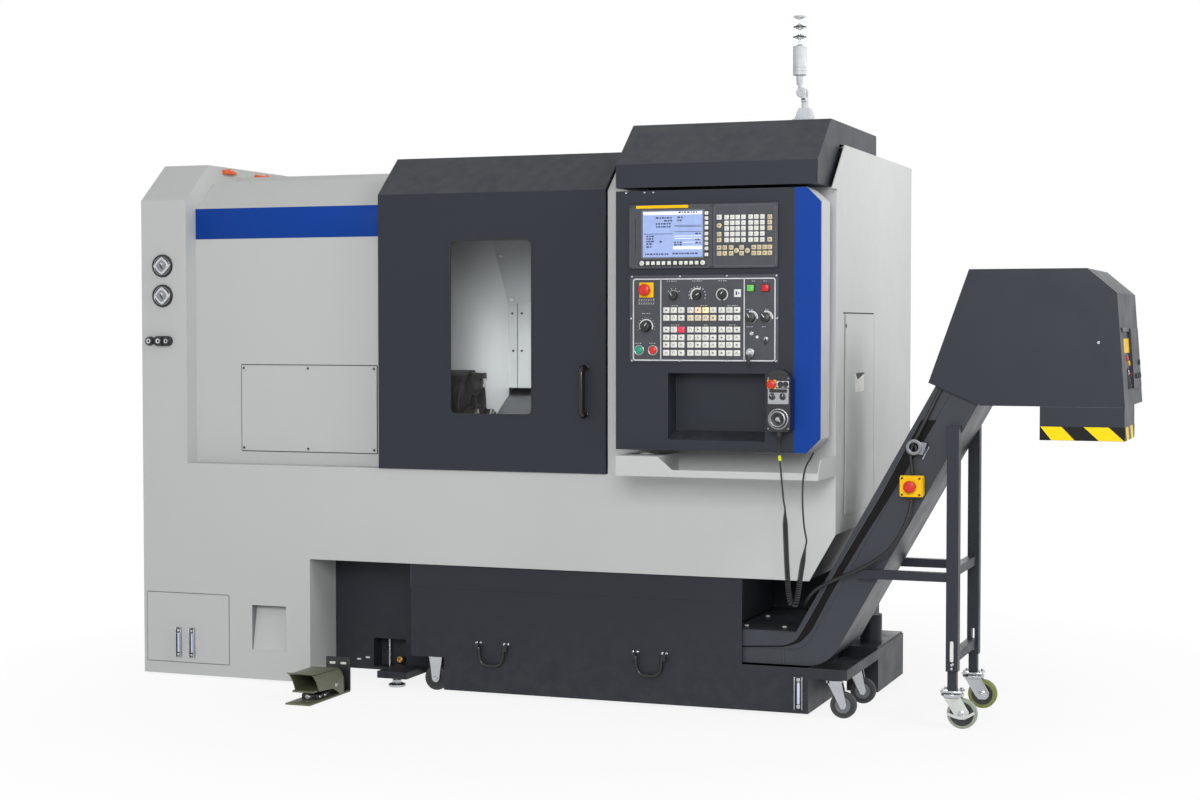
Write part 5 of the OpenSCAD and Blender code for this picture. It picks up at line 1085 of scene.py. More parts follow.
def mushroom(bm, x, front, z, tint=0):
    """A red stop head with a round crown and a skirt, facing the front."""
    turned(bm, (x, front, z), BACK,
           [(0, -0.4), (10, -0.2), (16.5, 0.9), (19.2, 2.8), (20.3, 5.4), (20.4, 10.5), (19.2, 12.4),
            (14.5, 13.2), (14.2, 17.2), (11.6, 17.6), (11.2, 22.5), (0, 22.5)], 48, tint)
    for k in range(3):
        ribbon(bm, arc(x, z, 12.5, 120 * k, 120 * k + 62, 8), 1.5, front - 0.2, front + 1.0, tint)


bm = bmesh.new()
mushroom(bm, ESTOP[0], -217, ESTOP[1])
head = piece("estop_mushroom", bm, "estop_button", "red_plastic", red)
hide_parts("estop_button")

for (x, z), name, finish, slot, node in (
        (START, "cycle_start_cap", green, "green_plastic", "cycle_start_button"),
        (HOLD, "feed_hold_cap", red, "red_plastic", "feed_hold_button")):
    bm = bmesh.new()
    turned(bm, (x, -194, z), BACK,
           [(0, -0.7), (7, -0.5), (10.8, 0.2), (12.6, 1.6), (13.0, 3.6), (13.0, 8.6), (4, 8.8), (4, 16),
            (0, 16)], 40)
    cap = piece(name, bm, node, slot, finish)
    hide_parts(node)
bm = bmesh.new()
for x, z in (START, HOLD):
    turned(bm, (x, PANEL_Y, z), FRONT,
           [(13.8, -0.3), (17.6, -0.3), (17.6, 5.4), (16.6, 6.6), (14.6, 6.8), (13.8, 6.0),
            (13.8, -0.3)], 40)
piece("push_button_rings", bm, "console", "bright_steel", chrome)

bm = bmesh.new()
turned(bm, (FEED[0], PANEL_Y - 3, FEED[1]), FRONT,
       [(0, 0.6), (19, 0.6), (19, 8), (17.4, 13), (16.0, 14.5), (0, 14.5)], 36)
pointer_knob(bm, FEED[0], PANEL_Y - 14, FEED[1], 17, 12, 40)
knob = piece("feed_override_dial", bm, "feed_override_knob", "black_plastic", black, white_ink)
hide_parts("feed_override_knob")
print("console buttons made")

# %% [markdown]
# The hand pendant has a silver plate with two knobs, a red stop on a yellow collar and
# a bright handwheel with a crank. The wheel turns on its own, so it is a piece that rides
# on its own body and stands for that solid. The rest are covers on the pendant's black body.

# %% Pendant
PEND_FRONT = -246
WHEEL = (2586, PEND_FRONT, 1032)
BUTTON_Z, KNOB_Z = 1146.2, 1105.3
PLATES = [((2551, 2621, 1081, 1133, 3), 1.2, -0.3), ((2556, 2616, 1119, 1130, 1.5), 1.6, 1.0),
          ((2580, 2622, 1136, 1157, 2), 1.0, -0.3), ((2548, 2579, 1131.5, 1161, 4), 1.4, -0.3)]
silver = metal("silver_plate", srgb(158, 160, 163), srgb(200, 200, 202), 0.42, 0.2)
bm = bmesh.new()
for tint, (outline, front, back) in enumerate(PLATES):
    cut_plate(bm, rounded_path(*outline), PEND_FRONT - front, PEND_FRONT - back, tint)
for x in (2594, 2611.6):
    turned(bm, (x, PEND_FRONT, BUTTON_Z), FRONT,
           [(0, 0), (9.4, 0), (9.4, 6), (8, 8.6), (3, 8.4), (0, 8.0)], 28, 1)
for x, lean in ((2566, -30), (2602, 20)):
    pointer_knob(bm, x, PEND_FRONT, KNOB_Z, 10.2, 10.4, lean, 1, 2)
    ribbon(bm, arc(x, KNOB_Z, 12, -60, 60, 8), 1.0, PEND_FRONT - 1.5, PEND_FRONT - 1.0, 1)
turned(bm, (2563.6, PEND_FRONT, BUTTON_Z), FRONT,
       [(0, 0), (14.6, 0), (15.2, 3), (15.2, 9), (13.6, 12), (9, 13.2), (0, 13.6)], 36, 4)
turned(bm, WHEEL, FRONT,
       [(30.4, -0.4), (34.6, -0.4), (34.6, 0.3), (33.8, 0.8), (30.4, 0.8), (30.4, -0.4)], 48, 0)
for a in range(0, 360, 18):
    ribbon(bm, spoke(WHEEL[0], WHEEL[2], 31.2, 33.6, a), 0.8, PEND_FRONT - 1.1, PEND_FRONT - 0.7, 1)
for z in (1000, 1166):
    for x in (2552, 2620):
        screw_head(bm, x, PEND_FRONT, z, 2.6, 0)
dome = [(2584 + 33 * math.sin(math.radians(a)),
         1174 + 19 * math.cos(math.radians(a))) for a in range(-90, 91, 10)]
cut_plate(bm, dome, -240, -196, 1)
piece("pendant_fittings", bm, "console", "bright_steel", silver, black, white_ink, yellow, red)

bm = bmesh.new()
turned(bm, WHEEL, FRONT,
       [(0, 1.2), (25.6, 1.2), (27.6, 3), (27.6, 9), (26, 12.6), (23.4, 13.6), (21.4, 11.4), (21.4, 8)],
       56, 0)
turned(bm, WHEEL, FRONT, [(21.6, 8), (12, 6.6), (9, 9.4), (9, 8), (0, 8)], 40, 1)
turned(bm, WHEEL, FRONT, low_head(7.4, 13, 6, 14.6, 7), 32, 0)
for a in range(0, 360, 9):
    ribbon(bm, spoke(WHEEL[0], WHEEL[2], 27, 28.2, a), 1.4, PEND_FRONT - 9, PEND_FRONT - 3, 1)
CRANK_X, CRANK_Z = WHEEL[0] + 15, WHEEL[2] - 12
ribbon(bm, [(WHEEL[0] - 2, WHEEL[2] + 4), (CRANK_X, CRANK_Z)], 6.4, PEND_FRONT - 15.6, PEND_FRONT - 12)
turned(bm, (CRANK_X, PEND_FRONT, CRANK_Z), FRONT,
       [(0, 10), (3.4, 10), (3.4, 15), (5.4, 17), (6, 25), (4.8, 28.4), (0, 28.9)], 24, 1)
wheel = piece("pendant_handwheel", bm, "pendant_wheel", "bright_steel", silver, black)
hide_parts("pendant_wheel")

# the strain relief under the pendant and a yellow tag on the lead
bm = bmesh.new()
turned(bm, (2584, -224, 976), (0, 0, -1),
       [(3.2, -3), (7.6, -3), (7.6, 2), (6.4, 4), (6.4, 6), (5.8, 7), (5.8, 9), (5.0, 11), (4.6, 24),
        (3.3, 26), (3.2, -3)], 20)
piece("pendant_strain_relief", bm, "console", "cord_rubber", finishes["cord_rubber"])
bm = bmesh.new()
turned(bm, (2595.4, -260, 903), (0.18, -0.33, -0.93),
       [(3.1, -9), (5.2, -9), (5.4, -8), (5.4, 8), (5.2, 9), (3.1, 9), (3.1, -9)], 20)
piece("pendant_cord_tag", bm, "console", "yellow_paint",
      painted("tag_yellow", srgb(214, 222, 40), srgb(232, 238, 120), 0.5, 0.03))
print("pendant dressed")

# %% [markdown]
# Two pressure gauges sit nearly flush in the left column: a dark rim, a pale diamond face and
# a short needle, with a block of three adjusting eyes under them. Level gauges on the base plate
# and on the tank are bright frames around a pale tube that glows faintly as painted light.
# Together they stand for one solid.

# %% Gauges
GAUGE_X = 94
face_white = moulded("gauge_face", srgb(214, 217, 222), srgb(235, 236, 238), 0.25)
bm = bmesh.new()


def rounded_diamond(cx, cz, r, power=1.3, steps=40):
    out = []
    for k in range(steps):
        a = 2 * math.pi * k / steps
        reach = r / (abs(math.cos(a)) ** power + abs(math.sin(a)) ** power) ** (1 / power)
        out.append((cx + reach * math.cos(a), cz + reach * math.sin(a)))
    return out


for z in (1567, 1453):
    turned(bm, (GAUGE_X, 0, z), FRONT,
           [(0, -1), (43.6, -1), (43.6, 1.2), (43, 2), (42.6, 3), (42.6, 8), (41.4, 10.8), (39.4, 12),
            (37.6, 12), (36.4, 10), (36, 8.4), (0, 8.4)], 56, 0)
    turned(bm, (GAUGE_X, 0, z), FRONT, [(33.6, 8), (35, 8), (35, 9.4), (33.6, 9.4), (33.6, 8)], 56, 1)
    cut_plate(bm, rounded_diamond(GAUGE_X, z, 33), -10.2, -8.2, 2)
    cut_plate(bm, rounded_diamond(GAUGE_X, z, 23), -11.4, -9.8, 3)
    turned(bm, (GAUGE_X + 27, -8.6, z), FRONT, [(0, -1), (6.5, -1), (6.5, 2), (5, 3.6), (0, 4)], 24, 2)
    turned(bm, (GAUGE_X, -11, z + 7), FRONT, [(0, -0.5), (5.5, -0.5), (5.5, 0.6), (0, 0.8)], 24, 2)
    ribbon(bm, [(GAUGE_X - 6, z + 7), (GAUGE_X + 5, z - 12)], 5.0, -12.6, -11.2, 0)
    for k in range(13):
        ribbon(bm, spoke(GAUGE_X, z, 26, 29, -135 + 22.5 * k), 1.0, -10.8, -10.0, 0)
dial_grey = moulded("dial_grey", srgb(140, 143, 150), srgb(190, 192, 198), 0.3)
dials = piece("pressure_gauges", bm, "machine", "black_plastic", black, chrome, face_white, dial_grey)
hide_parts("gauges")

bm = bmesh.new()
cut_plate(bm, rounded_path(58, 136, 1262, 1300, 18), -14, 0.5, 0)
cut_plate(bm, rounded_path(36, 66, 1272, 1290, 5), -9, 0.5, 0)
for x, r, out in ((40, 15, 20), (88, 15, 30), (118, 14, 23)):
    turned(bm, (x, 0, 1281), FRONT,
           [(0, -0.5), (r + 2, -0.5), (r + 2, out * 0.6), (r, out * 0.7), (r, out), (r - 2, out + 1.4),
            (r - 5, out + 1.4), (r - 6, out - 2), (4, out - 2), (4, out - 6), (0, out - 6)], 36, 0)
    turned(bm, (x, 0, 1281), FRONT,
           [(5, out - 2.4), (r - 5.6, out - 2.4), (r - 5.6, out + 0.6), (5, out + 0.6), (5, out - 2.4)],
           36, 1)
adjust = piece("pressure_adjusters", bm, "machine", "black_plastic", black, face_white)
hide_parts("gauges")

# the level tube glows a little, as painted light, though it is no lamp
glowing_tube = lit("level_tube_glow", srgb(196, 204, 232), 0.15)
bm = bmesh.new()
for x, z, y, w in ((157, 74, -2, 22), (216, 74, -2, 22), (2591, 27, 15, 30)):
    for x0 in (x - w / 2, x + w / 2 - 3):
        block(bm, (x0, y - 14, z), (x0 + 3, y + 0.5, z + 113), 1.0, 0)
    block(bm, (x - w / 2 + 2.4, y - 4, z + 0.6), (x + w / 2 - 2.4, y + 0.5, z + 112.4), 0.6, 1)
    for up in (11, 102):
        turned(bm, (x, y - 3, z + up), FRONT,
               [(0, 0), (w * 0.3, 0), (w * 0.3, 7), (w * 0.2, 10), (0, 10.6)], 6, 0)
    turned(bm, (x, y - 8, z + 20), UP, plain_rod(w * 0.17, 73), 20, 2)
levels = piece("level_gauges", bm, "machine", "bright_steel", chrome, black, glowing_tube)
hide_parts("gauges")
print("gauges made")

# %% [markdown]
# The signal tower is a grey plastic stalk on a square foot, with a joint that folds and
# three clear lens tiers. A clear lens alone would look empty, so each tier has a bright
# reflector and a dark collar inside, as the real lamp has.

# %% Signal tower
tower_grey = moulded("tower_grey", srgb(190, 194, 199), srgb(222, 224, 227), 0.36)
lens, tree, shader = new_finish("clear_lens")
shader.inputs["Transmission Weight"].default_value = 0.85
shader.inputs["IOR"].default_value = 1.3
haze = remap(tree, noise_field(tree, 160.0, 2.0).outputs["Fac"], 0.3, 0.7, 0.05, 0.2)
tree.links.new(haze, shader.inputs["Roughness"])
shader.inputs["Base Color"].default_value = (0.9, 0.92, 0.93, 1.0)
bm = bmesh.new()
TOWER_X, TOWER_Y = 2593, 60
FOLD_X, FOLD_Z = 2584, 2132
LAMP_X = 2574
TIER_Z, TIER = 2285, 34


def frustum(bm, half0, z0, half1, z1):
    """A square step of the tower's foot that narrows upwards, with softened edges."""
    low, top = [[bm.verts.new(place(TOWER_X + a * half, TOWER_Y + b * half, z))
                 for a, b in ((-1, -1), (1, -1), (1, 1), (-1, 1))]
                for half, z in ((half0, z0), (half1, z1))]
    made = [bm.faces.new(low[::-1]), bm.faces.new(top)]
    made += [bm.faces.new((low[k], low[(k + 1) % 4], top[(k + 1) % 4], top[k])) for k in range(4)]
    edges = list({e for f in made for e in f.edges})
    bmesh.ops.bevel(bm, geom=edges, offset=0.0025, segments=2, profile=0.5, affect="EDGES", material=-1)


frustum(bm, 36, 2034.6, 35, 2042)
frustum(bm, 30, 2041, 19, 2079)
turned(bm, (TOWER_X, TOWER_Y, 2070), UP, plain_rod(11.4, 44), 28)
for s in (-1, 1):
    turned(bm, (FOLD_X, TOWER_Y + s * 7, FOLD_Z), (0, s, 0),
           [(0, 0), (17, 0), (17.4, 1), (17.4, 9), (15.4, 12), (6, 12.4), (6, 11.2), (0, 11.2)], 36)
for y in (TOWER_Y - 18, TOWER_Y + 8):
    block(bm, (FOLD_X, y, 2104), (FOLD_X + 16, y + 10, FOLD_Z), 2.0)
block(bm, (FOLD_X - 1, TOWER_Y - 18, 2100), (FOLD_X + 17, TOWER_Y + 18, 2113), 2.0)
foot = piece("signal_tower_foot", bm, "machine", "bright_steel", tower_grey)
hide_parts("signal_tower_base")

bm = bmesh.new()
turned(bm, (FOLD_X, TOWER_Y - 6.2, FOLD_Z), BACK, plain_rod(14.6, 12.4), 32)
turned(bm, (LAMP_X, TOWER_Y, FOLD_Z), UP,
       [(0, 0), (5.8, 0), (5.8, 24), (11, 31), (11, 56), (14, 58), (14, 60), (0, 60)], 28)
turned(bm, (LAMP_X, TOWER_Y, 2191), UP,
       [(0, 0), (21, 0), (23, 1.5), (23, 12), (22.2, 12.6), (22.2, 14), (23, 14.6), (23, 24),
        (22.4, 24.6), (22.4, 26), (23, 26.6), (23, 92), (21.5, 94), (0, 94)], 48)
for k in range(3):
    z = TIER_Z + TIER * k
    turned(bm, (LAMP_X, TOWER_Y, z), UP, low_head(22.6, 4.0, 19, 4.4, 0), 48, 1 if k else 0)
    turned(bm, (LAMP_X, TOWER_Y, z), UP,
           [(0, 4), (17, 4), (12, 11), (6, 12), (5, 26), (8, 28), (17, 30), (0, 31)], 32, 2)
turned(bm, (LAMP_X, TOWER_Y, TIER_Z + 3 * TIER), UP,
       [(0, 0), (22.6, 0), (22.6, 3), (20, 5.6), (10, 6), (0, 6)], 48, 0)
stalk = piece("signal_tower_stalk", bm, "tower_head", "bright_steel", tower_grey, black, chrome)
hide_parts("signal_tower_head")
bm = bmesh.new()
for k in range(3):
    z = TIER_Z + TIER * k
    turned(bm, (LAMP_X, TOWER_Y, z), UP,
           [(20.4, 4.2), (22.2, 4.2), (22.4, 6), (22.4, 31), (22.2, 33.6), (20.4, 33.6), (20.4, 4.2)],
           48)
piece("signal_tower_lenses", bm, "tower_head", "window_glass", lens)
print("signal tower made")

# %% [markdown]
# The door's window is held in a black rubber strip, and the fixed panel carries a broad
# blue band that is plain here. The conveyor's mouth has the usual yellow and black edge,
# cut as slanted plates so that the stripes are as sharp as tape.

# %% Window strip and blue band
WINDOW = (1298, 1616, 1021, 1646)
BLUE_BAND = ((195.5, 70.8, 1669), (1009, 72.3, 1785))
bm = bmesh.new()
ribbon(bm, rounded_path(*WINDOW, 18), 5.0, -11.8, -9.0, 0, True)
piece("window_rubber_strip", bm, "door", "black_plastic", finishes["cord_rubber"])
bm = bmesh.new()
block(bm, *BLUE_BAND, 0.4)
piece("blue_band", bm, "machine", "blue_paint", finishes["blue_paint"])
print("window strip and blue band made")

# %% Hazard edge of the chute
hazard_black = painted("hazard_black", srgb(22, 22, 23), srgb(60, 60, 60), 0.4, 0.03)
hazard_yellow = painted("hazard_yellow", srgb(252, 216, 8), srgb(255, 236, 110), 0.4, 0.02)
CHUTE_X0, CHUTE_X1, CHUTE_Y0, CHUTE_Y1, CHUTE_Z = 3398, 3669, 10, 310, 965
BAND_TOP = CHUTE_Z + 45
STRIPE_LOW, STRIPE_TOP = CHUTE_Z + 0.3, BAND_TOP - 0.3
bm = bmesh.new()
cut_plate(bm, oblong(CHUTE_X0, CHUTE_X1, CHUTE_Z, BAND_TOP), CHUTE_Y0 - 0.8, CHUTE_Y0 + 0.3, 0)
for top0, top1, low0, low1 in ((2, 70, 38, 113), (141, 220, 190, 270)):
    stripe = [(low0, STRIPE_LOW), (low1, STRIPE_LOW), (top1, STRIPE_TOP), (top0, STRIPE_TOP)]
    cut_plate(bm, [(CHUTE_X0 + x, z) for x, z in stripe], CHUTE_Y0 - 1.2, CHUTE_Y0 - 0.6, 1)
side_plate(bm, oblong(CHUTE_Y0, CHUTE_Y1, CHUTE_Z, BAND_TOP), CHUTE_X1 - 0.3, CHUTE_X1 + 0.8, 0)
for k in range(2):
    y = CHUTE_Y0 + 20 + 138 * k
    side_plate(bm, [(y + 36, STRIPE_LOW), (y + 110, STRIPE_LOW), (y + 74, STRIPE_TOP), (y, STRIPE_TOP)],
               CHUTE_X1 + 0.6, CHUTE_X1 + 1.2, 1)
piece("chute_hazard_edge", bm, "machine", "yellow_paint", hazard_black, hazard_yellow)
print("hazard edge made")

# %% [markdown]
# Stop box on the conveyor, its screws, and the wheels' hubs and rims. A wheel's solid has its
# tyre and hub in one, so thin turned discs on both sides give rim and tyre their own finish.

# %% Stop box on the conveyor
STOP_X, STOP_Z = 2980, 803.5
bm = bmesh.new()
mushroom(bm, STOP_X, -50, STOP_Z)
head = piece("estop_box_mushroom", bm, "estop_box_button", "red_plastic", red)
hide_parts("estop_box_button")
bm = bmesh.new()
for x in (STOP_X - 29.5, STOP_X + 29.5):
    for z in (STOP_Z - 27.5, STOP_Z + 27.5):
        screw_head(bm, x, -20, z, 3.8)
turned(bm, (STOP_X, -20, STOP_Z), FRONT,
       [(12.4, -0.3), (18, -0.3), (18, 2.2), (16.4, 3.4), (12.4, 3.4), (12.4, -0.3)], 40)
piece("estop_box_screws", bm, "machine", "black_plastic", black)
bm = bmesh.new()
block(bm, (STOP_X - 38, -6, STOP_Z - 35.5), (STOP_X + 38, -3.4, STOP_Z + 35.5), 1.0)
piece("estop_box_seam", bm, "machine", "yellow_paint", hazard_yellow)
print("stop box dressed")

# %% Wheel hubs and rims
olive_tyre = moulded("olive_tyre", srgb(120, 128, 66), srgb(150, 156, 100), 0.55, 0.2)
tyre = moulded("black_tyre", srgb(34, 35, 37), srgb(64, 65, 68), 0.5, 0.2)
rim_grey = moulded("rim_grey", srgb(104, 107, 112), srgb(176, 178, 180), 0.3)
rim_bright = moulded("rim_bright", srgb(206, 210, 206), srgb(238, 240, 238), 0.25)
WHEELS = [("tank_wheel_left", 1206, 72, 45, black, 0.6),
          ("tank_caster_front_wheel", 2738, 53, 45, rim_grey, 0.6),
          ("tank_caster_rear_wheel", 2738, 350, 45, rim_grey, 0.6),
          ("stand_caster_front_wheel", 3151, 12, 50, black, 0.8),
          ("stand_caster_rear_wheel", 3151, 408, 50, black, 0.74)]
# the front stand tyre is a paler copy of the olive tyre, as painted light where it is lit
olive_tyre_painted_light = moulded("olive_tyre_painted_light", srgb(146, 156, 140), srgb(190, 198, 186), 0.4, 0.2)
stand_tyres = {"stand_caster_front_wheel": olive_tyre_painted_light, "stand_caster_rear_wheel": olive_tyre}
for name, x, y, r, rim, share in WHEELS:
    bm = bmesh.new()
    R = r * share
    for s in (-1, 1):
        turned(bm, (x, y + s * 11.6, r), (0, s, 0),
               [(0, -1), (r * 0.8, -1), (r * 0.8, 0.6), (R, 0.7), (R, -0.9)], 40, 1)
        turned(bm, (x, y + s * 11.6, r), (0, s, 0),
               [(0, -0.8), (R, -0.8), (R, 1.4), (R * 0.92, 1.8), (R * 0.8, 0.6), (R * 0.46, 0.6),
                (R * 0.4, 2.0), (R * 0.2, 2.2), (0, 2.2)], 40, 0)
        face = y + s * 12.6
        for a in range(15, 375, 60):
            ribbon(bm, spoke(x, r, R * 0.48, R * 0.78, a), R * 0.13, face - 0.8, face + 0.8, 0)
    piece(name + "_rim", bm, name, "tyre_rubber", rim, stand_tyres.get(name, tyre))
for name in stand_tyres:
    nodes[name].data.materials[0] = stand_tyres[name]
print("wheels finished")

# %% [markdown]
# Grips, bails and feet. They are round bars bent from stock and turned parts, so they are
# made as bars and turned profiles instead of the boxes and thin rods of the solids, which
# they replace. The foot switch has a pressed hood: its side walls sweep back under a lip.

# %% Door grip and tank bails
zinc = metal("zinc_plate", srgb(186, 190, 194), srgb(236, 237, 240), 0.16, 0.15, 0.8)
gloss_black = moulded("gloss_black", srgb(22, 22, 24), srgb(90, 90, 94), 0.2, 0.1, 0.5)
GRIP_X, GRIP_LOW, GRIP_TOP = 1819, 1023, 1191
bm = bmesh.new()
grip_route = [(-9, GRIP_LOW), (-48, GRIP_LOW), (-48, GRIP_TOP), (-9, GRIP_TOP)]
bent_bar(bm, eased([(GRIP_X, y, z) for y, z in grip_route], 26), 11.5)
for z in (GRIP_LOW, GRIP_TOP):
    turned(bm, (GRIP_X, -10, z), FRONT, low_head(15.5, 3, 13.6, 4.6), 28)
grip = piece("door_grip", bm, "door", "black_plastic", gloss_black)
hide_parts("door_handle")
BAIL_X = {"left": 1451, "right": 2052}
BAIL_HALF = [(63, 178), (47, 178), (46, 142), (37, 121), (18, 112)]
for side, x in BAIL_X.items():
    bm = bmesh.new()
    route = [(x - dx, 1, z) for dx, z in BAIL_HALF] + [(x + dx, 1, z) for dx, z in BAIL_HALF[::-1]]
    bent_bar(bm, eased(route, 9), 6)
    bail = piece("tank_bail_" + side, bm, "tank_handle_" + side, "black_plastic", gloss_black)
    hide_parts("tank_handle_" + side)
bm = bmesh.new()
for x in BAIL_X.values():
    for dx in (-62, -46, 46, 62):
        screw_head(bm, x + dx, 15, 192, 4.5)
piece("bail_bolts", bm, "machine", "bright_steel", zinc)
print("grip and bails bent")

# %% Foot switch housing
SWITCH_X, SWITCH_W, WALL = 828, 98, 4
HINGE_Y, HINGE_Z, GUARD_R = -190, 44, 60


def guard_bend(r):
    """The round back of the guard around the pedal's hinge, from the top down."""
    return arc(HINGE_Y, HINGE_Z, r, 0, 90, 9)


outer = [(-380, 113), (-368, 108), (-348, 104.8), (-320, 104)]
outer += guard_bend(GUARD_R) + [(-130, 6)]
inner = [(-379, 109), (-367, 104), (-347, 100.8), (-320, 100)]
inner += guard_bend(GUARD_R - WALL) + [(-134, 6)]
wall = [(-376, 110), (-356, 96), (-338, 76), (-326, 56), (-318, 40), (-214, 34), (-180, 18)]
wall += [(-160, 5), (-132, 5)] + guard_bend(GUARD_R - WALL / 2)[::-1]
wall += [(-320, 102), (-348, 103), (-366, 106)]
bm = bmesh.new()
block(bm, (SWITCH_X, -390, 0), (SWITCH_X + SWITCH_W, -78, 6), 1.0, 0)
side_plate(bm, outer + inner[::-1], SWITCH_X, SWITCH_X + SWITCH_W, 0)
for x in (SWITCH_X, SWITCH_X + SWITCH_W - WALL):
    side_plate(bm, wall, x, x + WALL, 0)
block(bm, (SWITCH_X + 16, -300, 5), (SWITCH_X + SWITCH_W - 16, -206, 26), 3, 1)
turned(bm, (SWITCH_X + SWITCH_W / 2, -300, 18), FRONT, low_head(11, 14, 8, 18, -1), 24, 2)
for y in (-284, -246):
    turned(bm, (SWITCH_X + SWITCH_W - 16.4, y, 16), RIGHT, low_head(6, 2, 4, 3.4, 0), 20, 2)
block(bm, (SWITCH_X + 14, -122, 6), (SWITCH_X + SWITCH_W - 14, -88, 58), 3, 1)
block(bm, (SWITCH_X, -83, 5), (SWITCH_X + SWITCH_W, -77, 126), 1.0, 1)
# the two pale slots in the bracket plate are painted highlights
for x in (855, 899):
    cut_plate(bm, rounded_path(x - 12, x + 12, 99.6, 108.4, 4.2), -84.0, -82.8, 3)
for x in (SWITCH_X, SWITCH_X + SWITCH_W):
    out = 1 if x > SWITCH_X else -1
    turned(bm, (x, HINGE_Y, HINGE_Z + 2), (out, 0, 0), low_head(9, 0.6, 7, 1.6, -0.3), 24, 2)
switch = piece("foot_switch_housing", bm, "machine", "olive_paint", finishes["olive_paint"], black,
               chrome, ivory)
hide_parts("foot_switch")
print("foot switch built")

# %% Levelling feet, base fittings
FEET = [(1035, 85), (804, 1105), (1657, 1105), (2510, 1105), (1657, 671), (2510, 671)]
bm = bmesh.new()
for x, y in FEET:
    turned(bm, (x, y, 0), UP, [(0, 0), (31, 0), (32, 2), (32, 8), (27, 12), (16, 14), (0, 14)], 40)
    turned(bm, (x, y, 14), UP, [(0, -0.5), (17, -0.5), (18, 1), (18, 11), (17, 12), (0, 12)], 6)
    turned(bm, (x, y, 26), UP, plain_rod(10, 9.4, -0.5), 24)
feet = piece("levelling_foot_screws", bm, "machine", "bright_steel", chrome)
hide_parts("levelling_feet")
brass = metal("brass", srgb(186, 150, 82), srgb(226, 200, 140), 0.35, 0.2)
bm = bmesh.new()
thread = [(0, 0)]
for k in range(26):
    thread += [(6.6, k * 4.1), (6.6, k * 4.1 + 1.6), (5.2, k * 4.1 + 2.2), (5.2, k * 4.1 + 3.6)]
turned(bm, (934, 232, 46), UP, thread + [(0, 107)], 20, 0)
turned(bm, (978, 242, 74), FRONT,
       [(0, 0), (13, 0), (13, 16), (11, 18), (6, 18), (5.4, 8), (0, 8)], 28, 1)
turned(bm, (978, 276, 74), FRONT, plain_rod(7, 34), 20, 1)
for x, z in ((816, 71), (853, 79)):
    cut_plate(bm, rounded_path(x - 9, x + 9, z - 3.4, z + 3.4, 3.2), 206.2, 207.2, 2)
piece("base_fittings", bm, "machine", "bright_steel", chrome, brass, ivory)
print("feet and base fittings made")

# %% [markdown]
# Sheet edges. Cover plates sit in shallow grooves whose thin dark lines are painted shade, the right
# cover has a flush door with a latch cup, and the console's blue panel is only blue in front.
# The latch cup and the pocket in the left block get painted shade as well.

# %% Edges, grooves and latch of the covers
# the groove paint is painted shade for dark lines in grooves and gaps, and also colours dark screw
# heads
groove = painted("groove_shadow", srgb(70, 72, 74), srgb(100, 102, 104), 0.6, 0.02)
pale = finishes["light_paint"]
BLUE_EDGE = [(2622, 917), (2663, 917), (2711, 965), (2711, 1747), (2663, 1795), (2622, 1795)]
DOOR_X, COVER_X = 2722.6, 2719.6
bm = bmesh.new()
ribbon(bm, BLUE_EDGE, 1.8, -171, -59.6)
piece("blue_panel_sides", bm, "console", "light_paint", pale)
bm = bmesh.new()
side_plate(bm, [(114, 1955), (-64, 1797.5), (4, 1797.5), (42, 1812)], 2716.4, 2720.4)
prism(bm, [(474, 3, 118), (614, 3, 118), (614, 36, 285), (474, 36, 285)],
      [(474, 5, 118), (614, 5, 118), (614, 38, 285), (474, 38, 285)])
side_plate(bm, oblong(124.6, 127.6, 688, 1377), DOOR_X, DOOR_X + 1)
side_plate(bm, oblong(563, 566, 688, 1377), DOOR_X, DOOR_X + 1)
side_plate(bm, oblong(270, 404, 1106, 1172), DOOR_X, DOOR_X + 1.2, 1)
piece("cover_sheet_edges", bm, "machine", "light_paint", pale, ivory)
bm = bmesh.new()
# dark lines above and beside the door are painted shade in its gaps
side_plate(bm, oblong(102, 566, 1380, 1385), COVER_X, COVER_X + 1.4)
side_plate(bm, oblong(119, 123.6, 687, 1377), COVER_X, COVER_X + 1.2)
# a dark wedge across the latch cup is painted shade
side_plate(bm, [(270, 1172), (304, 1150), (404, 1170.5), (404, 1172)], 2723.6, 2724.2)
turned(bm, (2722.8, 130, 1338), RIGHT, low_head(8, 0.8, 6, 1.6, 0), 24)
# the block plate's outline and the pocket's side wall and top are painted shade
ribbon(bm, rounded_path(14.4, 373.6, 53.4, 319.6, 3), 2.4, -0.7, 0.3, 1, True)
side_plate(bm, [(1, 118), (3, 118), (36, 284), (36, 286), (1, 286)], 472.4, 474.2, 1)
block(bm, (472.4, 1, 284.6), (615.6, 37, 286.6), 0, 0)
ribbon(bm, rounded_path(392.2, 964.8, 864.2, 1191.8, 3), 2.8, 71.0, 72.3, 0, True)
for x in (404, 678, 953):
    for z in (877, 1179):
        screw_head(bm, x, 67, z, 4.4)
piece("cover_grooves", bm, "machine", "dark_paint", groove,
      painted("recess_shade", srgb(128, 131, 134), srgb(150, 152, 155), 0.6, 0.02))
bm = bmesh.new()
for x1, y0, y1, z0, z1 in ((213, 272, 352, 1932, 1949), (210, 520, 700, 1935, 1946)):
    block(bm, (194.6, y0, z0), (x1, y1, z1), 3)
    turned(bm, (203, (y0 + y1) / 2, z1), UP, low_head(7, 3, 5, 5), 20)
orange = moulded("orange_fitting", srgb(226, 92, 30), srgb(240, 140, 80), 0.4)
piece("roof_clips", bm, "machine", "red_plastic", orange)
print("cover edges made")

# %% [markdown]
# Back and roof. The cabinet doors have hinges, turn latches and screws, and the roof plates
# are held by hexagon bolts. None of them shows from the front, so they are kept plain.

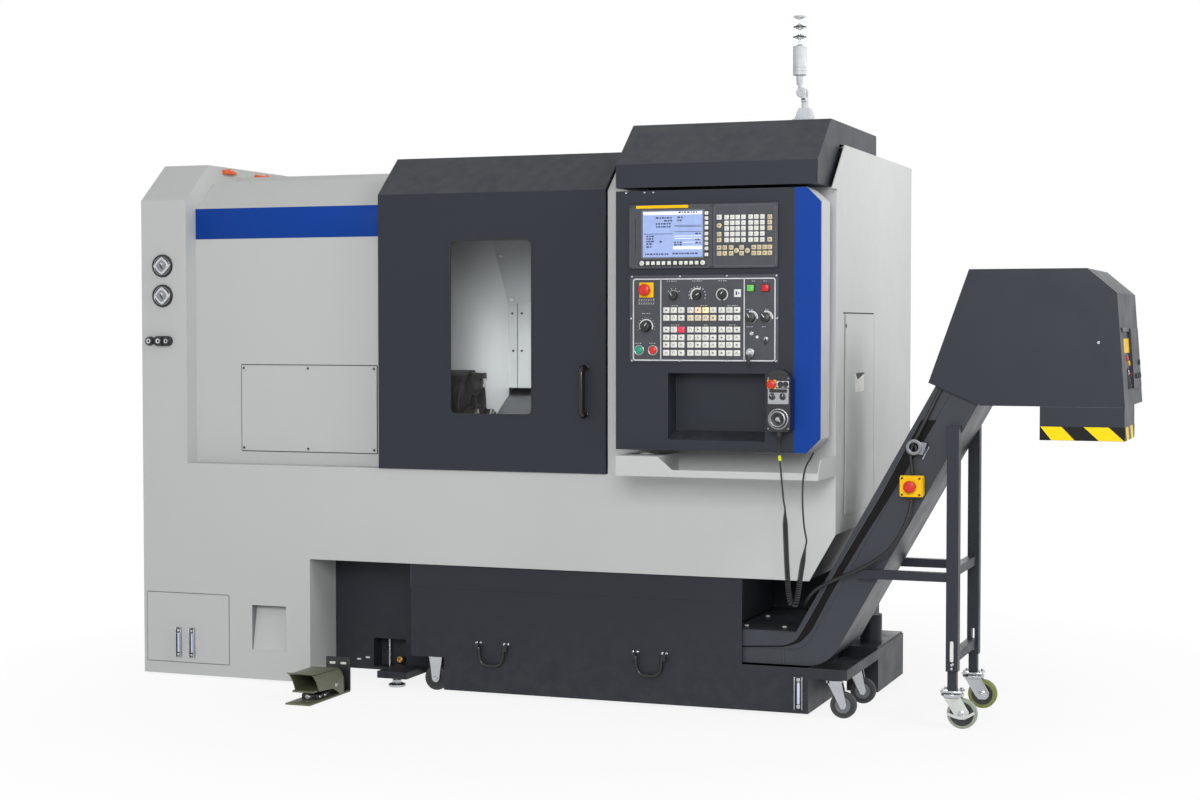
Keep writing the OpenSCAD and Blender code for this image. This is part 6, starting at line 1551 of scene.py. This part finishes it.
# %% Fittings of the rear doors
BACK_DOORS, BACK_W, BACK_Z, BACK_H, BACK_Y = (244.8, 1441.6), 1040, 220, 1560, 1237
bm = bmesh.new()
for x in BACK_DOORS:
    for z in (BACK_Z + 150, BACK_Z + BACK_H / 2, BACK_Z + BACK_H - 150):
        turned(bm, (x - 4, BACK_Y - 3, z - 40), UP,
               [(0, 0), (7, 0), (8, 1.5), (8, 78.5), (7, 80), (0, 80)], 20, 1)
        block(bm, (x - 2, BACK_Y - 0.4, z - 36), (x + 42, BACK_Y + 2.6, z + 36), 1.0, 1)
    latch = x + BACK_W - 60
    for z in (BACK_Z + 520, BACK_Z + 1040):
        turned(bm, (latch, BACK_Y, z), BACK, low_head(19, 3, 17, 5), 32, 0)
        cut_plate(bm, rounded_path(latch - 6, latch + 6, z - 15, z + 15, 5), BACK_Y + 4, BACK_Y + 12, 0)
    for dx in (18, BACK_W / 2, BACK_W - 18):
        for z in (BACK_Z + 18, BACK_Z + BACK_H - 18):
            screw_head(bm, x + dx, BACK_Y, z, 5, 2, BACK)
for x in (60, 700, 1340, 1980, 2660):
    screw_head(bm, x, 1225, 1925, 5.5, 2, BACK)
piece("rear_door_fittings", bm, "machine", "black_plastic", black, zinc, chrome)
bm = bmesh.new()
ROOF_BOLTS = {1926: [(420, 700), (900, 700), (420, 1100), (900, 1100)],
              1955: [(1200, 500), (1800, 500), (1200, 1100), (1800, 1100), (2560, 1100)]}
for z, places in ROOF_BOLTS.items():
    for x, y in places:
        turned(bm, (x, y, z), UP, low_head(9, 4, 7, 6), 6)
piece("roof_bolts", bm, "machine", "bright_steel", zinc)
print("rear and roof fittings made")

# %% [markdown]
# A thin apron sheet closes the gap above the tank, with a painted highlight on its edge. What the
# window shows of the chamber gets its screws, seams with painted shade, and a sheet on the slope
# painted darker as shade, and the chuck and its jaws are blackened steel with bright bolts and grips.

# %% Apron sheet and chamber screws
bm = bmesh.new()
cut_plate(bm, rounded_path(1126, 2387, 384, 470, 1), 13.6, 15.4)
# a lighter line on the apron's left edge is a painted highlight
ribbon(bm, [(1126.6, 388), (1126.6, 470)], 1.2, 13.4, 15.2, 1)
piece("apron_sheet", bm, "machine", "dark_paint", nodes["coolant_tank"].data.materials[0],
      painted("apron_edge_highlight", srgb(84, 89, 97), srgb(120, 125, 132), 0.4, 0.02))
bm = bmesh.new()
for x, z in ((1120, 1390), (1162, 1390), (1124, 1237), (1162, 1237)):
    screw_head(bm, x, 996, z, 5.0, 0)
for x, y, z in ((1125, 863.6, 1621), (1122, 982.4, 1447)):
    screw_head(bm, x, y, z, 6.5, 1, (0, -0.83, -0.56))
ribbon(bm, [(1147, 1086), (1147, 1432)], 4.0, 994.0, 996.4, 2)
# a dark line beside the seam's pale strip is painted shade
ribbon(bm, [(1143, 1086), (1143, 1432)], 2.2, 995.4, 996.4, 0)
side_plate(bm, oblong(453, 994, 1431, 1434), 1103.6, 1104.8, 2)
piece("chamber_screws", bm, "machine", "bright_steel", groove, ivory, pale)
bm = bmesh.new()
# the slope sheet is a darker copy of the pale paint, as painted shade
side_plate(bm, [(995.4, 1432.4), (796.4, 1724), (795.0, 1723), (994.0, 1431.4)], 1104.6, 2585.4)
piece("chamber_slope_sheet", bm, "machine", "light_paint",
      painted("slope_painted_shade", srgb(184, 186, 186), srgb(206, 208, 208), 0.4, 0.03))
print("apron and chamber detail made")

# %% Chuck bolts and jaw grips
chuck_black = painted("chuck_black", srgb(50, 47, 47), srgb(150, 147, 144), 0.3, 0.04, 0.8, shine=0.4)
for name in ("chuck", "jaw_1", "jaw_2", "jaw_3"):
    nodes[name].data.materials[0] = chuck_black
AXIS_Y, AXIS_Z, FACE_X = 375, 1045, 1208


def on_chuck(turn, r, side=0):
    """The y and z of a place on the chuck's face, by angle, radius and sideways offset."""
    a = math.radians(turn)
    return AXIS_Y + r * math.sin(a) + side * math.cos(a), AXIS_Z + r * math.cos(a) - side * math.sin(a)


bm = bmesh.new()
for turn in (30, 60, 90, 150, 180, 210, 270, 300, 330):
    for r in (88, 112):
        turned(bm, (FACE_X, *on_chuck(turn, r)), RIGHT, low_head(4.6, 1.0, 3.4, 2.0, -0.6), 16)
piece("chuck_bolts", bm, "spindle", "bright_steel", ivory)
for k, turn in enumerate((0, 240, 120)):
    bm = bmesh.new()
    for r in (62, 84):
        corners = [(r, -15), (r, 15), (r + 11, 15), (r + 11, -15)]
        side_plate(bm, [on_chuck(turn, *corner) for corner in corners], 1265.6, 1267.2)
    piece("jaw_%d_grip" % (k + 1), bm, "jaw_%d" % (k + 1), "bright_steel", ivory)
print("chuck and jaws dressed")

# %% [markdown]
# Brackets of the wheels and fittings of the conveyor: zinc brackets with bolt heads, painted shadow in
# the groove under the conveyor's rail, a lifting eye, and the drive's grip and knobs on the head's
# side.

# %% Caster brackets
SWIVEL_X, AXLE_X, AXLE_Z, FORK_TOP = 3118, 3151, 50, 119
PLATE_TOP = FORK_TOP + 8.5
CHEEK = [(SWIVEL_X - 29, FORK_TOP - 12), (SWIVEL_X + 29, FORK_TOP - 12), (AXLE_X + 25, AXLE_Z + 8),
         (AXLE_X + 23, AXLE_Z - 8), (AXLE_X + 12, AXLE_Z - 18), (AXLE_X - 12, AXLE_Z - 18),
         (AXLE_X - 23, AXLE_Z - 6)]
BRAKE = [(AXLE_X - 46, AXLE_Z), (AXLE_X - 20, AXLE_Z - 9), (AXLE_X, AXLE_Z - 12),
         (AXLE_X + 22, AXLE_Z - 6), (AXLE_X + 44, AXLE_Z + 8)]
STAND_FORKS = {"stand_caster_front_fork": (12, rim_bright), "stand_caster_rear_fork": (408, zinc)}
AXLE_NUT = low_head(8, 5, 7, 6, 0)
for name in (*STAND_FORKS, "tank_caster_front_fork", "tank_caster_rear_fork"):
    nodes[name].data.materials[0] = zinc
for name, (y, cheek) in STAND_FORKS.items():
    bm = bmesh.new()
    turned(bm, (SWIVEL_X, y, FORK_TOP - 16), UP,
           [(8.5, 0), (30, 0), (37, 4), (38, 8), (37, 13), (31, 15.6), (8.5, 15.6), (8.5, 0)], 44)
    for side in (-1, 1):
        cut_plate(bm, CHEEK, y + side * 16.6 - 1, y + side * 16.6 + 1, 1)
        turned(bm, (AXLE_X, y + side * 16, AXLE_Z), (0, side, 0), low_head(12, 3, 9, 4, 0), 28)
        turned(bm, (AXLE_X, y + side * 19, AXLE_Z), (0, side, 0), AXLE_NUT, 6)
    if cheek is rim_bright:
        ribbon(bm, BRAKE, 9, y - 26, y - 18, 1)
    piece(name + "_bracket", bm, name, "bright_steel", zinc, cheek)
bm = bmesh.new()
for y, _ in STAND_FORKS.values():
    block(bm, (SWIVEL_X - 36, y - 32, FORK_TOP + 0.5), (SWIVEL_X + 36, y + 32, PLATE_TOP), 2)
    for dx in (-27, 27):
        for dy in (-24, 24):
            turned(bm, (SWIVEL_X + dx, y + dy, PLATE_TOP), UP, low_head(6, 4, 5, 5), 6)
x, y, axle = WHEELS[0][1:4]
for side in (-1, 1):
    cut_plate(bm, [(x - 27, 130), (x + 27, 130), (x + 14, 40), (x + 7, 31), (x - 7, 31), (x - 14, 40)],
              y + side * 16.2 - 1, y + side * 16.2 + 1)
    turned(bm, (x, y + side * 17, axle), (0, side, 0), AXLE_NUT, 6)
cut_plate(bm, rounded_path(SWIVEL_X - 6, SWIVEL_X + 6, 222, 292, 5.5), -9.0, -7.8, 1)
for z in (200, 212):
    turned(bm, (SWIVEL_X, -8, z), FRONT, low_head(5, 3, 4, 4), 6)
piece("caster_plates", bm, "machine", "bright_steel", zinc, ivory)
print("casters dressed")

# %% Conveyor fittings
# the trough's paint is the dark paint made lighter, as a painted reflection on its front
trough_painted_reflection = painted("trough_painted_reflection", srgb(56, 60, 67), srgb(112, 117, 125), 0.4, 0.03, 0.6,
                       shine=0.3)
nodes["conveyor_trough"].data.materials[0] = trough_painted_reflection
RAIL_EDGE = [(2376, 234), (2537, 243), (2576, 262), (2602, 305), (2640, 372), (2685, 456), (2732, 537),
             (2801, 655), (2865, 763), (3003, 1024)]
SIDE_EDGE = [(2376, 227), (2537, 236), (2590, 254), (2627, 292), (2655, 345), (2694, 419), (2756, 529),
             (2828, 649), (2900, 763), (3054, 1024)]
TROUGH_FRONT, TROUGH_BACK = 30.4, 32.2
HEAD_FRONT, HEAD_BACK = 9.0, 10.4
bm = bmesh.new()
# a black band between the rail's lower edge and the trough's side is painted shadow
upper, lower = eased(RAIL_EDGE, 18, 5), eased(SIDE_EDGE, 18, 5)
for a, b, c, d in zip(upper, upper[1:], lower, lower[1:]):
    cut_plate(bm, [a, b, d, c], 31.0, 32.4, 4)
# pale lines along the rail's edge and on a seam are painted highlights
ribbon(bm, upper, 1.8, TROUGH_FRONT, TROUGH_BACK, 5)
ribbon(bm, [(2531, 176), (2531, 232)], 2.0, TROUGH_FRONT, TROUGH_BACK, 5)
ribbon(bm, [(3031, 934), (3009, 892)], 4.0, TROUGH_FRONT, TROUGH_BACK, 1)
for x, y in ((2382, 367), (2376, 116), (2509, 128)):
    turned(bm, (x, y, 288.6), UP, low_head(8, 3, 6, 5, 0), 20, 7)
EYE_X, EYE_Z = 2986, 934
turned(bm, (EYE_X, 3, EYE_Z), FRONT,
       [(15, -1), (26, -1), (27, 2), (27, 6), (25, 8), (17, 8), (15, 6), (15, -1)], 40, 6)
cut_plate(bm, [(EYE_X + 22, EYE_Z + 18), (EYE_X + 44, EYE_Z + 14), (EYE_X + 30, EYE_Z - 26),
               (EYE_X + 14, EYE_Z - 24)], -2, 31, 6)
# pale lines along the chute's lower edge and its right corner are painted highlights
ribbon(bm, [(3400, 1074), (3662, 1074)], 1.8, HEAD_FRONT, HEAD_BACK, 5)
ribbon(bm, [(3668, 1012), (3668, 1072)], 2.2, HEAD_FRONT, HEAD_BACK, 5)
HEAD_X, HEAD_TOP, HEAD_LEAN = 3641, 1445, 28 / 370
HEAD_OUT = (1, 0, 0.08)


def on_head_side(y, z, out):
    """A point on the head's leaning right side."""
    return HEAD_X + (HEAD_TOP - z) * HEAD_LEAN + out, y, z


def side_panel(bm, y0, y1, z0, z1, out, tint):
    corners = oblong(y0, y1, z0, z1)
    prism(bm, [on_head_side(y, z, out) for y, z in corners],
          [on_head_side(y, z, -0.4) for y, z in corners], tint)


side_panel(bm, 96, 336, 1249, 1296, 1.2, 2)
side_panel(bm, 150, 312, 1130, 1198, 1.2, 4)
LAMPS = [(190, 1184, 1), (250, 1176, 3), (200, 1158, 5), (268, 1150, 1), (230, 1140, 5)]
for y, z, tint in LAMPS:
    turned(bm, on_head_side(y, z, 1), HEAD_OUT, [(0, 0), (8, 0), (8, 1.6), (0, 1.8)], 16, tint)
side_panel(bm, 60, 330, 1319, 1332, 5.0, 0)
for y, z, tint in ((165, 1231, 3), (215, 1214, 2)):
    turned(bm, on_head_side(y, z, 0), HEAD_OUT,
           [(0, -0.5), (9, -0.5), (9, 3), (7.4, 4.6), (0, 4.8)], 24, tint)
piece("conveyor_fittings", bm, "machine", "dark_paint", black, zinc, yellow, red,
      painted("black_and_painted_shadow", srgb(10, 10, 12), srgb(30, 32, 35), 0.6, 0.02, dust=0.0),
      painted("grey_and_edge_highlight", srgb(88, 93, 101), srgb(130, 135, 142), 0.4, 0.02),
      metal("eye_steel", srgb(124, 127, 132), srgb(190, 192, 195), 0.4, 0.2), ivory)
print("conveyor fittings made")

# %% Small fittings: hood and conveyor screws
bm = bmesh.new()
for x in (2032, 2098, 2130):
    screw_head(bm, x, -180.4, 1789, 3.4, 0)
screw_head(bm, 3584, 10, 1284, 5.0, 0)
piece("cover_screws", bm, "machine", "bright_steel", chrome)
print("small fittings made")
